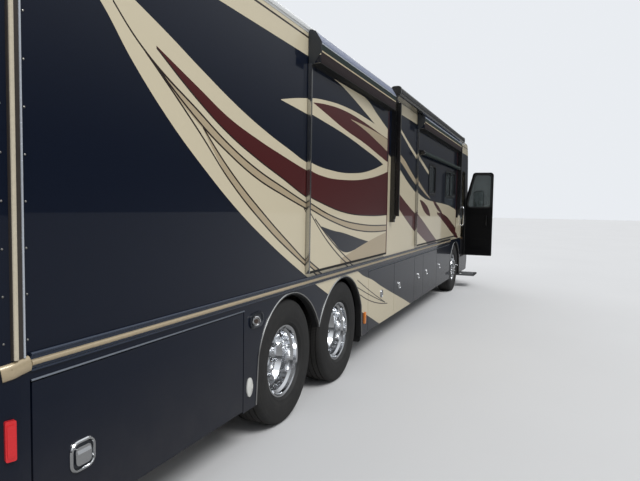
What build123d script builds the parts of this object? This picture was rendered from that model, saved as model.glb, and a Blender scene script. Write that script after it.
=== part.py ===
# Tag-axle motor coach with slide-outs, built as separate pieces. Millimetres.
# X runs forward, Y to the left, Z up; the origin is on the ground near the middle.
from build123d import *
import os

os.makedirs("parts", exist_ok=True)

# Whole coach
REAR_X = -6650.0
NOSE_X = 6530.0
WIDTH = 2565.0
SKIRT_BOTTOM = 330.0
BELT = 1150.0
ROOF_CROWN = 3530.0
CROWN_RISE = 240.0
EAVE_RADIUS = 115.0
WALL = 40.0
GAP = 6.0
LENGTH = NOSE_X - REAR_X
SIDE_Y = WIDTH / 2
EAVE = ROOF_CROWN - CROWN_RISE
CAP_REAR = -6510.0
CAP_FRONT = 5800.0
REAR_CORNER = 140.0
REAR_TOP_RADIUS = 260.0
ROOF_REAR = -6360.0
ROOF_FRONT = 5300.0
CORNER_X = 240.0
CORNER_Y = 202.0
BOW = 90.0

# Wheels and axles
TYRE_R = 520.0
TYRE_W = 300.0
RIM_R = 298.0
RIM_W = 230.0
TYRE_INSET = 17.5
TRACK_Y = SIDE_Y - TYRE_INSET - TYRE_W / 2
DUAL_PITCH = 343.0
FRONT_AXLE = 4400.0
DRIVE_AXLE = -2710.0
TAG_AXLE = -3980.0
KINGPIN_OFFSET = 80.0
KINGPIN_Y = TRACK_Y - KINGPIN_OFFSET
KINGPIN_R = 20.0
ARCH_TOP = 1085.0
ARCH_MOUTH_Z = 690.0
ARCH_HALF = 635.0

# Frame
RAIL_Y = 430.0
RAIL_TOP = 1080.0
RAIL_H = 235.0
RAIL_W = 85.0
RAIL_T = 10.0
RAIL_REAR = -6340.0
RAIL_FRONT = 6150.0
HITCH_Z = 480.0
HITCH_OUT = 64.0
HITCH_IN = 51.0
HITCH_PIN_R = 8.0
HITCH_END = REAR_X - 90.0
HITCH_PIN_X = HITCH_END + 36.0
JACK_X = (-5650.0, 5350.0)
JACK_Y = RAIL_Y + 170.0
JACK_FOOT_R = 125.0

# Floor and basement
FLOOR_T = 50.0
FLOOR_TOP = RAIL_TOP + FLOOR_T
DECK_X = -4690.0
DECK_Z = 1390.0
WELL_X = (5060.0, 5770.0)
WELL_TREADS = [(-980.0, 720.0), (-720.0, 925.0)]
PAN_Z = 345.0
PAN_T = 20.0
BAY_REAR = -1850.0
BAY_FRONT = FRONT_AXLE - TYRE_R - 170.0

# Entry door, hinged at its front edge and standing open. Above its shoulder the front edge leans
# back with the nose pillar.
DOOR_REAR = 5120.0
DOOR_FRONT = 5745.0
DOOR_BOTTOM = 705.0
DOOR_TOP = 2675.0
DOOR_SHOULDER = DOOR_TOP - 635.0
DOOR_LEAN = 165.0
DOOR_CORNER = 70.0
DOOR_HINGE_X = 5750.0
DOOR_HINGE_Y = -(SIDE_Y + 8.0)

# Baggage doors: rear x, front x
RIGHT_BAYS = [
    (-6460.0, -4730.0),
    (BAY_REAR + 10, -690.0),
    (-680.0, 510.0),
    (520.0, 1145.0),
    (1155.0, 2310.0),
    (2320.0, BAY_FRONT - 10),
]
LEFT_BAYS = [
    (BAY_REAR + 10, -690.0),
    (-680.0, 510.0),
    (520.0, 2100.0),
    (2110.0, BAY_FRONT - 10),
]
BAY_BOTTOM = 345.0
BAY_TOP = BELT - 95.0
BAY_T = 28.0
BAY_SKIN = 10.0
BAY_RIM = 60.0

# Slide-outs: name, side, rear x, front x, bottom z, top z, depth
SLIDE_LOW = BELT + 120.0
SLIDE_HIGH = EAVE - 300.0
SLIDES = [
    ("slide_rear_right", -1, -3635.0, -1295.0, SLIDE_LOW, SLIDE_HIGH, 600.0),
    ("slide_front_right", -1, 500.0, 4080.0, SLIDE_LOW, SLIDE_HIGH, 600.0),
    ("slide_left", 1, -3300.0, 3900.0, SLIDE_LOW, SLIDE_HIGH, 700.0),
]
SLIDE_LIP = 45.0
SLIDE_T = 35.0

# Fixed windows of the left wall: x range, z range
LEFT_WINDOWS = [
    ((-5600.0, -4900.0), (1900.0, 2600.0)),
    ((4700.0, 5600.0), (1720.0, 2620.0)),
]

# Nose line of the front cap: x of the foremost point, z
NOSE_LINE = [
    (NOSE_X - 110.0, SKIRT_BOTTOM),
    (NOSE_X - 20.0, 520.0),
    (NOSE_X, 950.0),
    (NOSE_X - 40.0, 1500.0),
    (NOSE_X - 240.0, ROOF_CROWN - 560.0),
    (NOSE_X - 300.0, ROOF_CROWN - 360.0),
    (NOSE_X - 450.0, ROOF_CROWN - 160.0),
    (NOSE_X - 760.0, ROOF_CROWN),
]
SCREEN_Y = (22.0, SIDE_Y - 162.0)
SCREEN_Z = (1540.0, ROOF_CROWN - 590.0)
SCREEN_T = 8.0


def block(x, y, z, mode=Mode.ADD):
    """A box between two values along each axis."""
    with Locations(((x[0] + x[1]) / 2, (y[0] + y[1]) / 2, (z[0] + z[1]) / 2)):
        Box(abs(x[1] - x[0]), abs(y[1] - y[0]), abs(z[1] - z[0]), mode=mode)


def rod(start, end, r, mode=Mode.ADD):
    """A round bar from one point to another."""
    way = Vector(*end) - Vector(*start)
    with BuildSketch(Plane(origin=start, z_dir=way.normalized())) as section:
        Circle(r)
    extrude(section.sketch, amount=way.length, mode=mode)


def save(piece, name):
    """Label a finished piece and write its STEP file."""
    piece.part.label = name
    export_step(piece.part, f"parts/{name}.step")


def plan_front(nose, inset):
    """Plan outline of the front, from the middle of the coach to the nose."""
    half = SIDE_Y - inset
    tip = nose - inset
    start = nose - BOW - CORNER_X
    bow_y = SIDE_Y - CORNER_Y - 0.17 * inset
    with BuildLine() as outline:
        back = Line((4000, -half), (start, -half))
        corner = TangentArc(back @ 1, (tip - BOW, -bow_y), tangent=(1, 0))
        ThreePointArc(corner @ 1, (tip, 0), (tip - BOW, bow_y))
        TangentArc((start, half), (tip - BOW, bow_y), tangent=(1, 0))
        Polyline((start, half), (4000, half), (4000, -half))
    make_face(outline.edges())


def cross_section(inset):
    """Outline of the body seen from behind: straight sides, round eaves and a crowned roof."""
    half = SIDE_Y - inset
    low = SKIRT_BOTTOM - max(inset, 0)
    radius = EAVE_RADIUS - inset
    edge = half - radius
    with BuildLine() as outline:
        Polyline((-half, EAVE), (-half, low), (half, low), (half, EAVE))
        TangentArc((half, EAVE), (edge, EAVE + radius), tangent=(0, 1))
        ThreePointArc((edge, EAVE + radius), (0, ROOF_CROWN - inset), (-edge, EAVE + radius))
        TangentArc((-half, EAVE), (-edge, EAVE + radius), tangent=(0, 1))
    make_face(outline.edges())


def envelope(inset):
    """The whole coach body as one solid, each face moved in by inset."""
    half = SIDE_Y - inset
    with BuildPart() as body:
        with BuildSketch(Plane.XY.offset(SKIRT_BOTTOM - max(inset, 0))):
            with BuildLine():
                x0 = REAR_X + inset
                r = REAR_CORNER - inset
                Polyline((x0 + r, -half), (5200, -half), (5200, half), (x0 + r, half))
                RadiusArc((x0 + r, half), (x0, half - r), -r)
                ThreePointArc((x0, half - r), (x0 - 25, 0), (x0, -half + r))
                RadiusArc((x0, -half + r), (x0 + r, -half), -r)
            make_face()
        extrude(amount=ROOF_CROWN + 50 - SKIRT_BOTTOM)
        for (x_low, z_low), (x_high, z_high) in zip(NOSE_LINE, NOSE_LINE[1:]):
            start = z_low - inset if z_low == SKIRT_BOTTOM and inset > 0 else z_low
            rise = Vector(x_high - x_low, 0, z_high - start)
            with BuildSketch(Plane.XY.offset(start)):
                plan_front(x_low, inset)
            extrude(amount=rise.length, dir=rise.normalized())
        with BuildSketch(Plane.YZ.offset(REAR_X - 100)):
            cross_section(inset)
        extrude(amount=LENGTH + 300, mode=Mode.INTERSECT)
        with BuildSketch(Plane.XZ.offset(-SIDE_Y - 100)):
            with BuildLine():
                top = ROOF_CROWN - inset + 20
                x0 = REAR_X - 30 + inset
                r = REAR_TOP_RADIUS
                Polyline((x0, top - r), (x0, 0), (NOSE_X + 100, 0), (NOSE_X + 100, top),
                         (x0 + r, top))
                RadiusArc((x0 + r, top), (x0, top - r), -r)
            make_face()
        extrude(amount=WIDTH + 200, mode=Mode.INTERSECT)
    return body.part


OUTER = envelope(0.0)
INNER = envelope(WALL)
SHELL = OUTER - INNER


def panel(x, y, z):
    """The part of the body shell inside a box."""
    with BuildPart(mode=Mode.PRIVATE) as window:
        block(x, y, z)
    return SHELL & window.part


def arch_cut(axle_x, side, rear, front):
    """Cut a wheel arch; rear and front are half widths at the mouth height."""
    out = SIDE_Y + 60
    with BuildSketch(Plane.XZ.offset(out if side < 0 else -out)) as arch:
        with BuildLine():
            top = (axle_x, ARCH_TOP)
            left = (axle_x - rear, ARCH_MOUTH_Z)
            right = (axle_x + front, ARCH_MOUTH_Z)
            TangentArc(top, left, tangent=(-1, 0))
            TangentArc(top, right, tangent=(1, 0))
            Polyline(left, (axle_x - rear - 30, SKIRT_BOTTOM - 10),
                     (axle_x + front + 30, SKIRT_BOTTOM - 10), right)
        make_face()
    extrude(arch.sketch, amount=-160 if side < 0 else 160, mode=Mode.SUBTRACT)


def doorway(gap, outer, inner):
    """The entry door's outline, wider all round by a gap, between two depths from the middle."""
    rear, front = DOOR_REAR - gap, DOOR_FRONT + gap
    low, high = DOOR_BOTTOM - gap, DOOR_TOP + gap
    with BuildPart(mode=Mode.PRIVATE) as prism:
        with BuildSketch(Plane.XZ.offset(outer)) as opening:
            with BuildLine() as outline:
                Polyline((rear, low), (front, low), (front, DOOR_SHOULDER), (front - DOOR_LEAN, high),
                         (rear, high), (rear, low))
            make_face(outline.edges())
            fillet(opening.vertices().group_by(Axis.Y)[-1], DOOR_CORNER)
        extrude(opening.sketch, amount=inner - outer)
    return prism.part


def skirt(name, side, bays):
    """Lower side panel with its wheel arches and baggage door openings."""
    y = (side * (SIDE_Y - WALL), side * (SIDE_Y + 5))
    with BuildPart() as piece:
        add(panel((CAP_REAR, CAP_FRONT), y, (SKIRT_BOTTOM, BELT)))
        arch_cut(TAG_AXLE, side, 525, ARCH_HALF)
        arch_cut(DRIVE_AXLE, side, ARCH_HALF, 600)
        arch_cut(FRONT_AXLE, side, 600, 600)
        deep = (side * (SIDE_Y - 2 * WALL), side * (SIDE_Y + 20))
        for rear, front in bays:
            block((rear - 10, front + 10), deep, (SKIRT_BOTTOM - 10, BAY_TOP + 10), Mode.SUBTRACT)
        if side < 0:
            add(doorway(GAP, SIDE_Y + 20, SIDE_Y - 2 * WALL), mode=Mode.SUBTRACT)
    save(piece, name)


skirt("skirt_right", -1, RIGHT_BAYS)
skirt("skirt_left", 1, LEFT_BAYS)


def bay_door(name, side, rear, front):
    """Baggage door with a raised inner frame, cut from the body side."""
    with BuildPart() as piece:
        add(panel((rear, front), (side * (SIDE_Y - BAY_T), side * (SIDE_Y + 5)),
                  (BAY_BOTTOM, BAY_TOP)))
        block((rear + BAY_RIM, front - BAY_RIM),
              (side * (SIDE_Y - BAY_T - 5), side * (SIDE_Y - BAY_SKIN)),
              (BAY_BOTTOM + BAY_RIM, BAY_TOP - BAY_RIM), Mode.SUBTRACT)
    save(piece, name)


for n, (rear, front) in enumerate(RIGHT_BAYS, start=1):
    bay_door(f"bay_door_right_{n}", -1, rear, front)
for n, (rear, front) in enumerate(LEFT_BAYS, start=1):
    bay_door(f"bay_door_left_{n}", 1, rear, front)


def wall(name, side):
    """Upper side wall, with the slide-out openings, windows and doorway cut."""
    y = (side * (SIDE_Y - WALL), side * (SIDE_Y + 5))
    deep = (side * (SIDE_Y - 2 * WALL), side * (SIDE_Y + 20))
    with BuildPart() as piece:
        add(panel((CAP_REAR, CAP_FRONT), y, (BELT, EAVE)))
        for _, slide_side, rear, front, low, high, _ in SLIDES:
            if slide_side == side:
                block((rear, front), deep, (low, high), Mode.SUBTRACT)
        if side < 0:
            add(doorway(GAP, SIDE_Y + 20, SIDE_Y - 2 * WALL), mode=Mode.SUBTRACT)
        else:
            for x, z in LEFT_WINDOWS:
                block(x, deep, z, Mode.SUBTRACT)
    save(piece, name)


wall("wall_right", -1)
wall("wall_left", 1)

with BuildPart() as side_glass:
    for x, z in LEFT_WINDOWS:
        block(x, (SIDE_Y - 24, SIDE_Y - 16), z)
save(side_glass, "side_glass")

with BuildPart() as roof:
    with BuildSketch(Plane.YZ.offset(ROOF_REAR)):
        cross_section(0.0)
        with BuildSketch(mode=Mode.PRIVATE) as hollow:
            cross_section(WALL)
        add(hollow.sketch, mode=Mode.SUBTRACT)
        with Locations((0, EAVE / 2)):
            Rectangle(WIDTH + 10, EAVE, mode=Mode.SUBTRACT)
    extrude(amount=ROOF_FRONT - ROOF_REAR)
save(roof, "roof")

# Rear hatch: half width, bottom z, top z, with rows of air slots in two columns
HATCH = (800.0, 600.0, 1380.0)
SLOT_ROWS = 9
SLOT_PITCH = 65.0
SLOT_H = 24.0
SLOT_Y = (60.0, HATCH[0] - 90.0)
with BuildPart() as rear_cap:
    add(panel((REAR_X - 100, CAP_REAR), (-SIDE_Y - 5, SIDE_Y + 5), (SKIRT_BOTTOM, EAVE)))
    add(panel((REAR_X - 100, ROOF_REAR), (-SIDE_Y - 5, SIDE_Y + 5), (EAVE, ROOF_CROWN + 20)))
    block((REAR_X - 100, CAP_REAR - WALL), (-HATCH[0] - 8, HATCH[0] + 8),
          (HATCH[1] - 8, HATCH[2] + 8), Mode.SUBTRACT)
    block((REAR_X - 100, CAP_REAR), (-60, 60), (HITCH_Z - 60, HITCH_Z + 60), Mode.SUBTRACT)
save(rear_cap, "rear_cap")

with BuildPart() as rear_hatch:
    add(panel((REAR_X - 100, CAP_REAR - WALL), (-HATCH[0], HATCH[0]), (HATCH[1], HATCH[2])))
    for row in range(SLOT_ROWS):
        z = HATCH[1] + 110 + row * SLOT_PITCH
        for side in (-1, 1):
            block((REAR_X - 100, CAP_REAR), (side * SLOT_Y[0], side * SLOT_Y[1]), (z, z + SLOT_H),
                  Mode.SUBTRACT)
save(rear_hatch, "rear_hatch")

# Air openings of the nose: half width, lowest z, height, pitch, rows
GRILLE = (620.0, 620.0, 38.0, 60.0, 6)
AIR_INTAKE = (600.0, 400.0, 70.0, 0.0, 1)
with BuildPart() as front_cap:
    add(panel((CAP_FRONT, NOSE_X + 50), (-SIDE_Y - 5, SIDE_Y + 5), (SKIRT_BOTTOM, EAVE)))
    add(panel((ROOF_FRONT, NOSE_X + 50), (-SIDE_Y - 5, SIDE_Y + 5), (EAVE, ROOF_CROWN + 20)))
    for side in (-1, 1):
        block((CAP_FRONT + 300, NOSE_X + 50), (side * SCREEN_Y[0], side * SCREEN_Y[1]), SCREEN_Z,
              Mode.SUBTRACT)
    for half, low, height, pitch, rows in (GRILLE, AIR_INTAKE):
        for row in range(rows):
            z = low + row * pitch
            block((CAP_FRONT + 300, NOSE_X + 50), (-half, half), (z, z + height), Mode.SUBTRACT)
save(front_cap, "front_cap")

PANE = envelope(12.0) - envelope(12.0 + SCREEN_T)
with BuildPart() as windshield:
    for side in (-1, 1):
        with BuildPart(mode=Mode.PRIVATE) as opening:
            block((CAP_FRONT + 300, NOSE_X + 50), (side * SCREEN_Y[0], side * SCREEN_Y[1]),
                  SCREEN_Z)
        add(PANE & opening.part)
save(windshield, "windshield")

# Lamps, each a proud patch of the body surface: x range, y range, z range, corner radius
LAMPS = [
    ((CAP_FRONT + 200, NOSE_X + 50), (SIDE_Y - 462, SIDE_Y - 42), (800.0, 1060.0), 60.0),
    ((CAP_FRONT + 200, NOSE_X + 50), (SIDE_Y - 382, SIDE_Y - 142), (500.0, 600.0), 45.0),
    ((REAR_X - 60, REAR_X + 60), (SIDE_Y - 302, SIDE_Y - 162), (760.0, 1360.0), 60.0),
]
SKIN = envelope(-12.0) - OUTER
with BuildPart() as lamps:
    for x, y, z, radius in LAMPS:
        for side in (-1, 1):
            with BuildPart(mode=Mode.PRIVATE) as zone:
                with BuildSketch(Plane.YZ.offset(x[0])) as outline:
                    with Locations((side * (y[0] + y[1]) / 2, (z[0] + z[1]) / 2)):
                        RectangleRounded(y[1] - y[0], z[1] - z[0], radius)
                extrude(outline.sketch, amount=x[1] - x[0])
            add(SKIN & zone.part)
save(lamps, "lamps")

with BuildPart() as chassis_frame:
    web = RAIL_W - RAIL_T
    for side in (-1, 1):
        inner = side * (RAIL_Y - RAIL_W / 2)
        outer = side * (RAIL_Y + RAIL_W / 2)
        low = RAIL_TOP - RAIL_H
        block((RAIL_REAR, RAIL_FRONT), (inner, outer), (low, RAIL_TOP))
        block((RAIL_REAR, RAIL_FRONT), (inner, outer - side * RAIL_T),
              (low + RAIL_T, RAIL_TOP - RAIL_T), Mode.SUBTRACT)
    for x in (-6290.0, -4850.0, -3350.0, -1900.0, -600.0, 900.0, 2300.0, 3600.0, 5000.0, 6100.0):
        rod((x, -RAIL_Y - RAIL_W / 2 + RAIL_T, RAIL_TOP - RAIL_H / 2),
            (x, RAIL_Y + RAIL_W / 2 - RAIL_T, RAIL_TOP - RAIL_H / 2), 55)
    block((RAIL_REAR, RAIL_REAR + 90), (-RAIL_Y, RAIL_Y), (HITCH_Z - 60, HITCH_Z + 60))
    for side in (-1, 1):
        block((RAIL_REAR, RAIL_REAR + 90), (side * (RAIL_Y - 40), side * (RAIL_Y + 40)),
              (HITCH_Z - 60, RAIL_TOP - RAIL_H + 20))
    half = HITCH_OUT / 2
    block((HITCH_END, RAIL_REAR + 10), (-half, half), (HITCH_Z - half, HITCH_Z + half))
    hole = HITCH_IN / 2
    block((HITCH_END - 10, RAIL_REAR), (-hole, hole), (HITCH_Z - hole, HITCH_Z + hole),
          Mode.SUBTRACT)
    rod((HITCH_PIN_X, -100, HITCH_Z), (HITCH_PIN_X, 100, HITCH_Z), HITCH_PIN_R, Mode.SUBTRACT)
    for x in JACK_X:
        for side in (-1, 1):
            y = side * JACK_Y
            block((x - 60, x + 60), (side * (RAIL_Y + 30), y + side * 40), (850, 1000))
            rod((x, y, 360), (x, y, 900), 55)
            rod((x, y, 335), (x, y, 362), JACK_FOOT_R)
    for x, lip in ((5110, 5195), (5700, 5635)):
        plate = x + 20 if lip > x else x
        with BuildSketch(Plane.YZ.offset(x)):
            with BuildLine():
                step_y = -SIDE_Y + 82
                rail_y = -RAIL_Y - 15
                Polyline((step_y, 245), (rail_y - 215, 245), (rail_y, 560), (rail_y, 860),
                         (rail_y - 55, 860), (rail_y - 115, 600), (step_y, 420), (step_y, 245))
            make_face()
        extrude(amount=20)
        block((min(plate, lip), max(plate, lip)), (step_y, rail_y - 215), (245, 256))
save(chassis_frame, "chassis_frame")

# Floor: the main floor and the raised deck over the engine, with the step well at the door,
# whose treads stay clear of the closed door
STEP_EDGE = -SIDE_Y + WALL + GAP
with BuildPart() as floor:
    block((DECK_X, NOSE_X), (-SIDE_Y, SIDE_Y), (RAIL_TOP, FLOOR_TOP))
    block((REAR_X, DECK_X + FLOOR_T), (-SIDE_Y, SIDE_Y), (DECK_Z, DECK_Z + FLOOR_T))
    block((DECK_X, DECK_X + FLOOR_T), (-SIDE_Y, SIDE_Y), (RAIL_TOP, DECK_Z + FLOOR_T))
    add(INNER, mode=Mode.INTERSECT)
    block(WELL_X, (STEP_EDGE - 10, WELL_TREADS[1][0]), (RAIL_TOP - 10, FLOOR_TOP + 10),
          Mode.SUBTRACT)
save(floor, "floor")

with BuildPart() as step_well:
    (first_y, first_z), (second_y, second_z) = WELL_TREADS
    plate = 20
    with BuildSketch(Plane.YZ.offset(WELL_X[0])):
        with BuildLine():
            Polyline((STEP_EDGE, first_z), (first_y, first_z), (first_y, second_z),
                     (second_y, second_z), (second_y, RAIL_TOP), (second_y + plate, RAIL_TOP),
                     (second_y + plate, second_z - plate), (first_y + plate, second_z - plate),
                     (first_y + plate, first_z - plate), (STEP_EDGE, first_z - plate),
                     (STEP_EDGE, first_z))
        make_face()
    extrude(amount=WELL_X[1] - WELL_X[0])
    for x in (WELL_X[0], WELL_X[1] - 15):
        with BuildSketch(Plane.YZ.offset(x)):
            with BuildLine():
                Polyline((STEP_EDGE, first_z), (first_y, first_z), (first_y, second_z),
                         (second_y, second_z), (second_y, RAIL_TOP), (STEP_EDGE, RAIL_TOP),
                         (STEP_EDGE, first_z))
            make_face()
        extrude(amount=15)
save(step_well, "step_well")

# Storage bays under the floor: x of each bulkhead, y range
BULKHEADS = [
    (BAY_REAR, (-1.0, 1.0)),
    (-695.0, (-1.0, 1.0)),
    (505.0, (-1.0, 1.0)),
    (1140.0, (-1.0, 0.0)),
    (2305.0, (-1.0, 0.0)),
    (2095.0, (0.0, 1.0)),
    (BAY_FRONT - 20.0, (-1.0, 1.0)),
]
with BuildPart() as basement:
    side = SIDE_Y - WALL - 2
    low = PAN_Z + PAN_T
    block((BAY_REAR, BAY_FRONT), (-side, side), (PAN_Z, low))
    for x, (right, left) in BULKHEADS:
        block((x, x + 20), (right * side, left * side), (low, RAIL_TOP - RAIL_H))
    block((BULKHEADS[2][0], BAY_FRONT), (-10, 10), (low, RAIL_TOP - RAIL_H))
save(basement, "basement")

# Engine, gearbox and drive shaft: one plain block each
with BuildPart() as engine_block:
    block((-6200, -5050), (-365, 365), (430, DECK_Z - 20))
    block((-5050, -4450), (-230, 230), (520, 895))
    rod((-4450, 0, 700), (DRIVE_AXLE - 205, 0, 600), 50)
save(engine_block, "engine_block")

SPRING_R = 105.0
EYE_R = 38.0
with BuildPart() as front_axle:
    with BuildSketch(Plane.YZ.offset(FRONT_AXLE - 45)):
        with BuildLine():
            Polyline((-KINGPIN_Y, 575), (-880, 565), (-700, 475), (700, 475), (880, 565),
                     (KINGPIN_Y, 575), (KINGPIN_Y, 465), (900, 455), (740, 385), (-740, 385),
                     (-900, 455), (-KINGPIN_Y, 465), (-KINGPIN_Y, 575))
        make_face()
    extrude(amount=90)
    for side in (-1, 1):
        y = side * KINGPIN_Y
        block((FRONT_AXLE - 60, FRONT_AXLE + 60), (y - 45, y + 45), (400, 640), Mode.SUBTRACT)
        rod((FRONT_AXLE, y, 460), (FRONT_AXLE, y, 580), EYE_R)
        block((FRONT_AXLE - 30, FRONT_AXLE + 30), (y - side * 60, y), (465, 575))
        rod((FRONT_AXLE, y, 455), (FRONT_AXLE, y, 585), KINGPIN_R + 0.5, Mode.SUBTRACT)
        rod((FRONT_AXLE, side * RAIL_Y, 470), (FRONT_AXLE, side * RAIL_Y, RAIL_TOP - RAIL_H),
            SPRING_R)
save(front_axle, "front_axle")

# Rear axles: x, tube radius, spring offset along x, middle housing radius
REAR_AXLES = [(DRIVE_AXLE, 75.0, 260.0, 200.0), (TAG_AXLE, 65.0, 230.0, 0.0)]
AXLE_END = TRACK_Y - 205
with BuildPart() as rear_axles:
    for x, tube, spring, bowl in REAR_AXLES:
        rod((x, -AXLE_END, TYRE_R), (x, AXLE_END, TYRE_R), tube)
        if bowl:
            with Locations((x, 0, TYRE_R)):
                Sphere(bowl)
        for side in (-1, 1):
            y = side * RAIL_Y
            block((x - spring - SPRING_R, x + spring + SPRING_R), (y - 45, y + 45), (450, 490))
            for reach in (-spring, spring):
                rod((x + reach, y, 485), (x + reach, y, RAIL_TOP - RAIL_H), SPRING_R)
            rod((x, side * (AXLE_END - 10), TYRE_R), (x, side * (TRACK_Y - 130), TYRE_R), 40)
            rod((x, side * (TRACK_Y - 430), TYRE_R), (x, side * (TRACK_Y - 418), TYRE_R), 180)
save(rear_axles, "rear_axles")

for name, side in (("knuckle_right", -1), ("knuckle_left", 1)):
    with BuildPart() as knuckle:
        y = side * KINGPIN_Y
        for z in ((400, 455), (585, 640)):
            block((FRONT_AXLE - 42, FRONT_AXLE + 42), (y - side * 42, y + side * 53), z)
        block((FRONT_AXLE - 42, FRONT_AXLE + 42), (y + side * 44, y + side * 53), (400, 640))
        rod((FRONT_AXLE, y, 420), (FRONT_AXLE, y, 620), KINGPIN_R)
        rod((FRONT_AXLE, y + side * 50, TYRE_R), (FRONT_AXLE, side * (TRACK_Y + 95), TYRE_R), 35)
        block((FRONT_AXLE - 190, FRONT_AXLE - 30), (y - side * 40, y - side * 5), (405, 435))
    save(knuckle, name)

# Tyre section, outboard half: offset from the middle plane, radius
TYRE_SECTION = [(0.0, 520.0), (118.0, 514.0), (141.0, 488.0), (150.0, 405.0), (132.0, 318.0),
                (105.0, 300.0), (105.0, 286.0), (92.0, 288.0), (122.0, 400.0), (112.0, 478.0),
                (0.0, 488.0)]


def wheel_plane(x):
    """Sketch plane with its x along Y and its y along Z, through a wheel's centre."""
    return Plane(origin=(x, 0, TYRE_R), x_dir=(0, 1, 0), z_dir=(1, 0, 0))


def spin(section, x, mode=Mode.ADD):
    """Revolve a section about a wheel's own axis."""
    revolve(section.sketch, axis=Axis((x, 0, TYRE_R), (0, 1, 0)), mode=mode)


def tyre(name, x, centres):
    """One tyre, or two side by side."""
    with BuildPart() as piece:
        for y in centres:
            with BuildSketch(wheel_plane(x)) as section:
                with BuildLine():
                    points = [(y + a, r) for a, r in TYRE_SECTION]
                    mirrored = [(y - a, r) for a, r in reversed(TYRE_SECTION)]
                    Polyline(*points, *mirrored[1:])
                make_face()
            spin(section, x)
    save(piece, name)


# Rim section, outboard first: offset from the middle plane, radius
RIM_OUTSIDE = [(115.0, 298.0), (105.0, 298.0), (105.0, 284.0), (72.0, 284.0), (52.0, 262.0),
               (-52.0, 262.0), (-72.0, 284.0), (-105.0, 284.0), (-105.0, 298.0),
               (-115.0, 298.0)]
HAND_HOLES = 10
HAND_HOLE_R = 20.0
HAND_HOLE_CIRCLE = 213.0
HUB_R = 112.0


def rim_points(dish):
    """Rim section whose disc reaches dish inboard of the middle plane."""
    flat = -dish
    back = [(-115.0, 286.0), (-107.0, 274.0), (-78.0, 272.0), (-60.0, 250.0),
            (-0.45 * dish, 243.0), (flat, 208.0), (flat, HUB_R)]
    front = [(flat + 24, HUB_R), (flat + 24, 196.0), (-0.40 * dish, 226.0), (-20.0, 250.0),
             (60.0, 250.0), (78.0, 272.0), (107.0, 274.0), (115.0, 286.0)]
    return RIM_OUTSIDE + back + front


def wheel(name, x, side, rims, hub, drum):
    """Rims, hub and brake drum or disc of one wheel; rims: centre, dish, outboard sense."""
    with BuildPart() as piece:
        for centre, dish, sense in rims:
            with BuildSketch(wheel_plane(x)) as section:
                with BuildLine():
                    points = [(side * (centre + sense * a), r) for a, r in rim_points(dish)]
                    Polyline(*points, points[0])
                make_face()
            spin(section, x)
            with BuildPart(mode=Mode.PRIVATE) as drills:
                with Locations(Plane(origin=(x, side * (centre - sense * dish), TYRE_R),
                                     z_dir=(0, 1, 0))):
                    with PolarLocations(HAND_HOLE_CIRCLE, HAND_HOLES):
                        Cylinder(HAND_HOLE_R, 240)
            add(drills.part, mode=Mode.SUBTRACT)
        for profile in (hub, drum):
            with BuildSketch(wheel_plane(x)) as section:
                with BuildLine():
                    points = [(side * (TRACK_Y + y), r) for y, r in profile]
                    Polyline(*points, points[0])
                make_face()
            spin(section, x)
    save(piece, name)


INNER_Y = TRACK_Y - DUAL_PITCH
DISH = DUAL_PITCH / 2
FRONT_DISH = 130.0
SPINDLE_BORE = 41.0
# Hub and brake sections: distance out from the middle of the outer tyre, radius
REAR_HUB = [(-200.0, SPINDLE_BORE), (-120.0, SPINDLE_BORE), (-120.0, 0.0), (-50.0, 0.0),
            (-50.0, 70.0), (-75.0, 84.0), (-125.0, 88.0), (-130.0, HUB_R + 0.5),
            (-200.0, HUB_R + 0.5)]
REAR_DRUM = [(-200.0, HUB_R), (-180.0, HUB_R), (-180.0, 196.0), (-195.0, 206.0),
             (-440.0, 206.0), (-440.0, 192.0), (-200.0, 192.0)]
FRONT_HUB = [(-21.0, SPINDLE_BORE - 5), (105.0, SPINDLE_BORE - 5), (105.0, 0.0), (162.0, 0.0),
             (159.0, 60.0), (146.0, 84.0), (132.0, HUB_R + 0.5), (85.0, HUB_R + 0.5),
             (65.0, 90.0), (-21.0, 90.0)]
FRONT_ROTOR = [(-21.0, 85.0), (-21.0, 200.0), (5.0, 200.0), (5.0, 85.0)]
for end, side in (("right", -1), ("left", 1)):
    tyre(f"tyre_front_{end}", FRONT_AXLE, [side * TRACK_Y])
    tyre(f"tyre_drive_{end}", DRIVE_AXLE, [side * TRACK_Y, side * INNER_Y])
    tyre(f"tyre_tag_{end}", TAG_AXLE, [side * TRACK_Y])
    wheel(f"wheel_front_{end}", FRONT_AXLE, side, [(TRACK_Y, FRONT_DISH, -1)],
          FRONT_HUB, FRONT_ROTOR)
    wheel(f"wheel_drive_{end}", DRIVE_AXLE, side,
          [(TRACK_Y, DISH, 1), (INNER_Y, DISH, -1)], REAR_HUB, REAR_DRUM)
    wheel(f"wheel_tag_{end}", TAG_AXLE, side, [(TRACK_Y, DISH, 1)], REAR_HUB, REAR_DRUM)

# Entry door, made closed and then swung open about its front edge: rims behind and ahead of its
# window, and the window's height, lean and corner radius
DOOR_RIM = (58.0, 42.0)
WINDOW_Z = (DOOR_TOP - 810.0, DOOR_TOP - 60.0)
WINDOW_LEAN = DOOR_LEAN + 5.0
WINDOW_R = 70.0
HINGE = Axis((DOOR_HINGE_X, DOOR_HINGE_Y, 0), (0, 0, 1))


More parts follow.
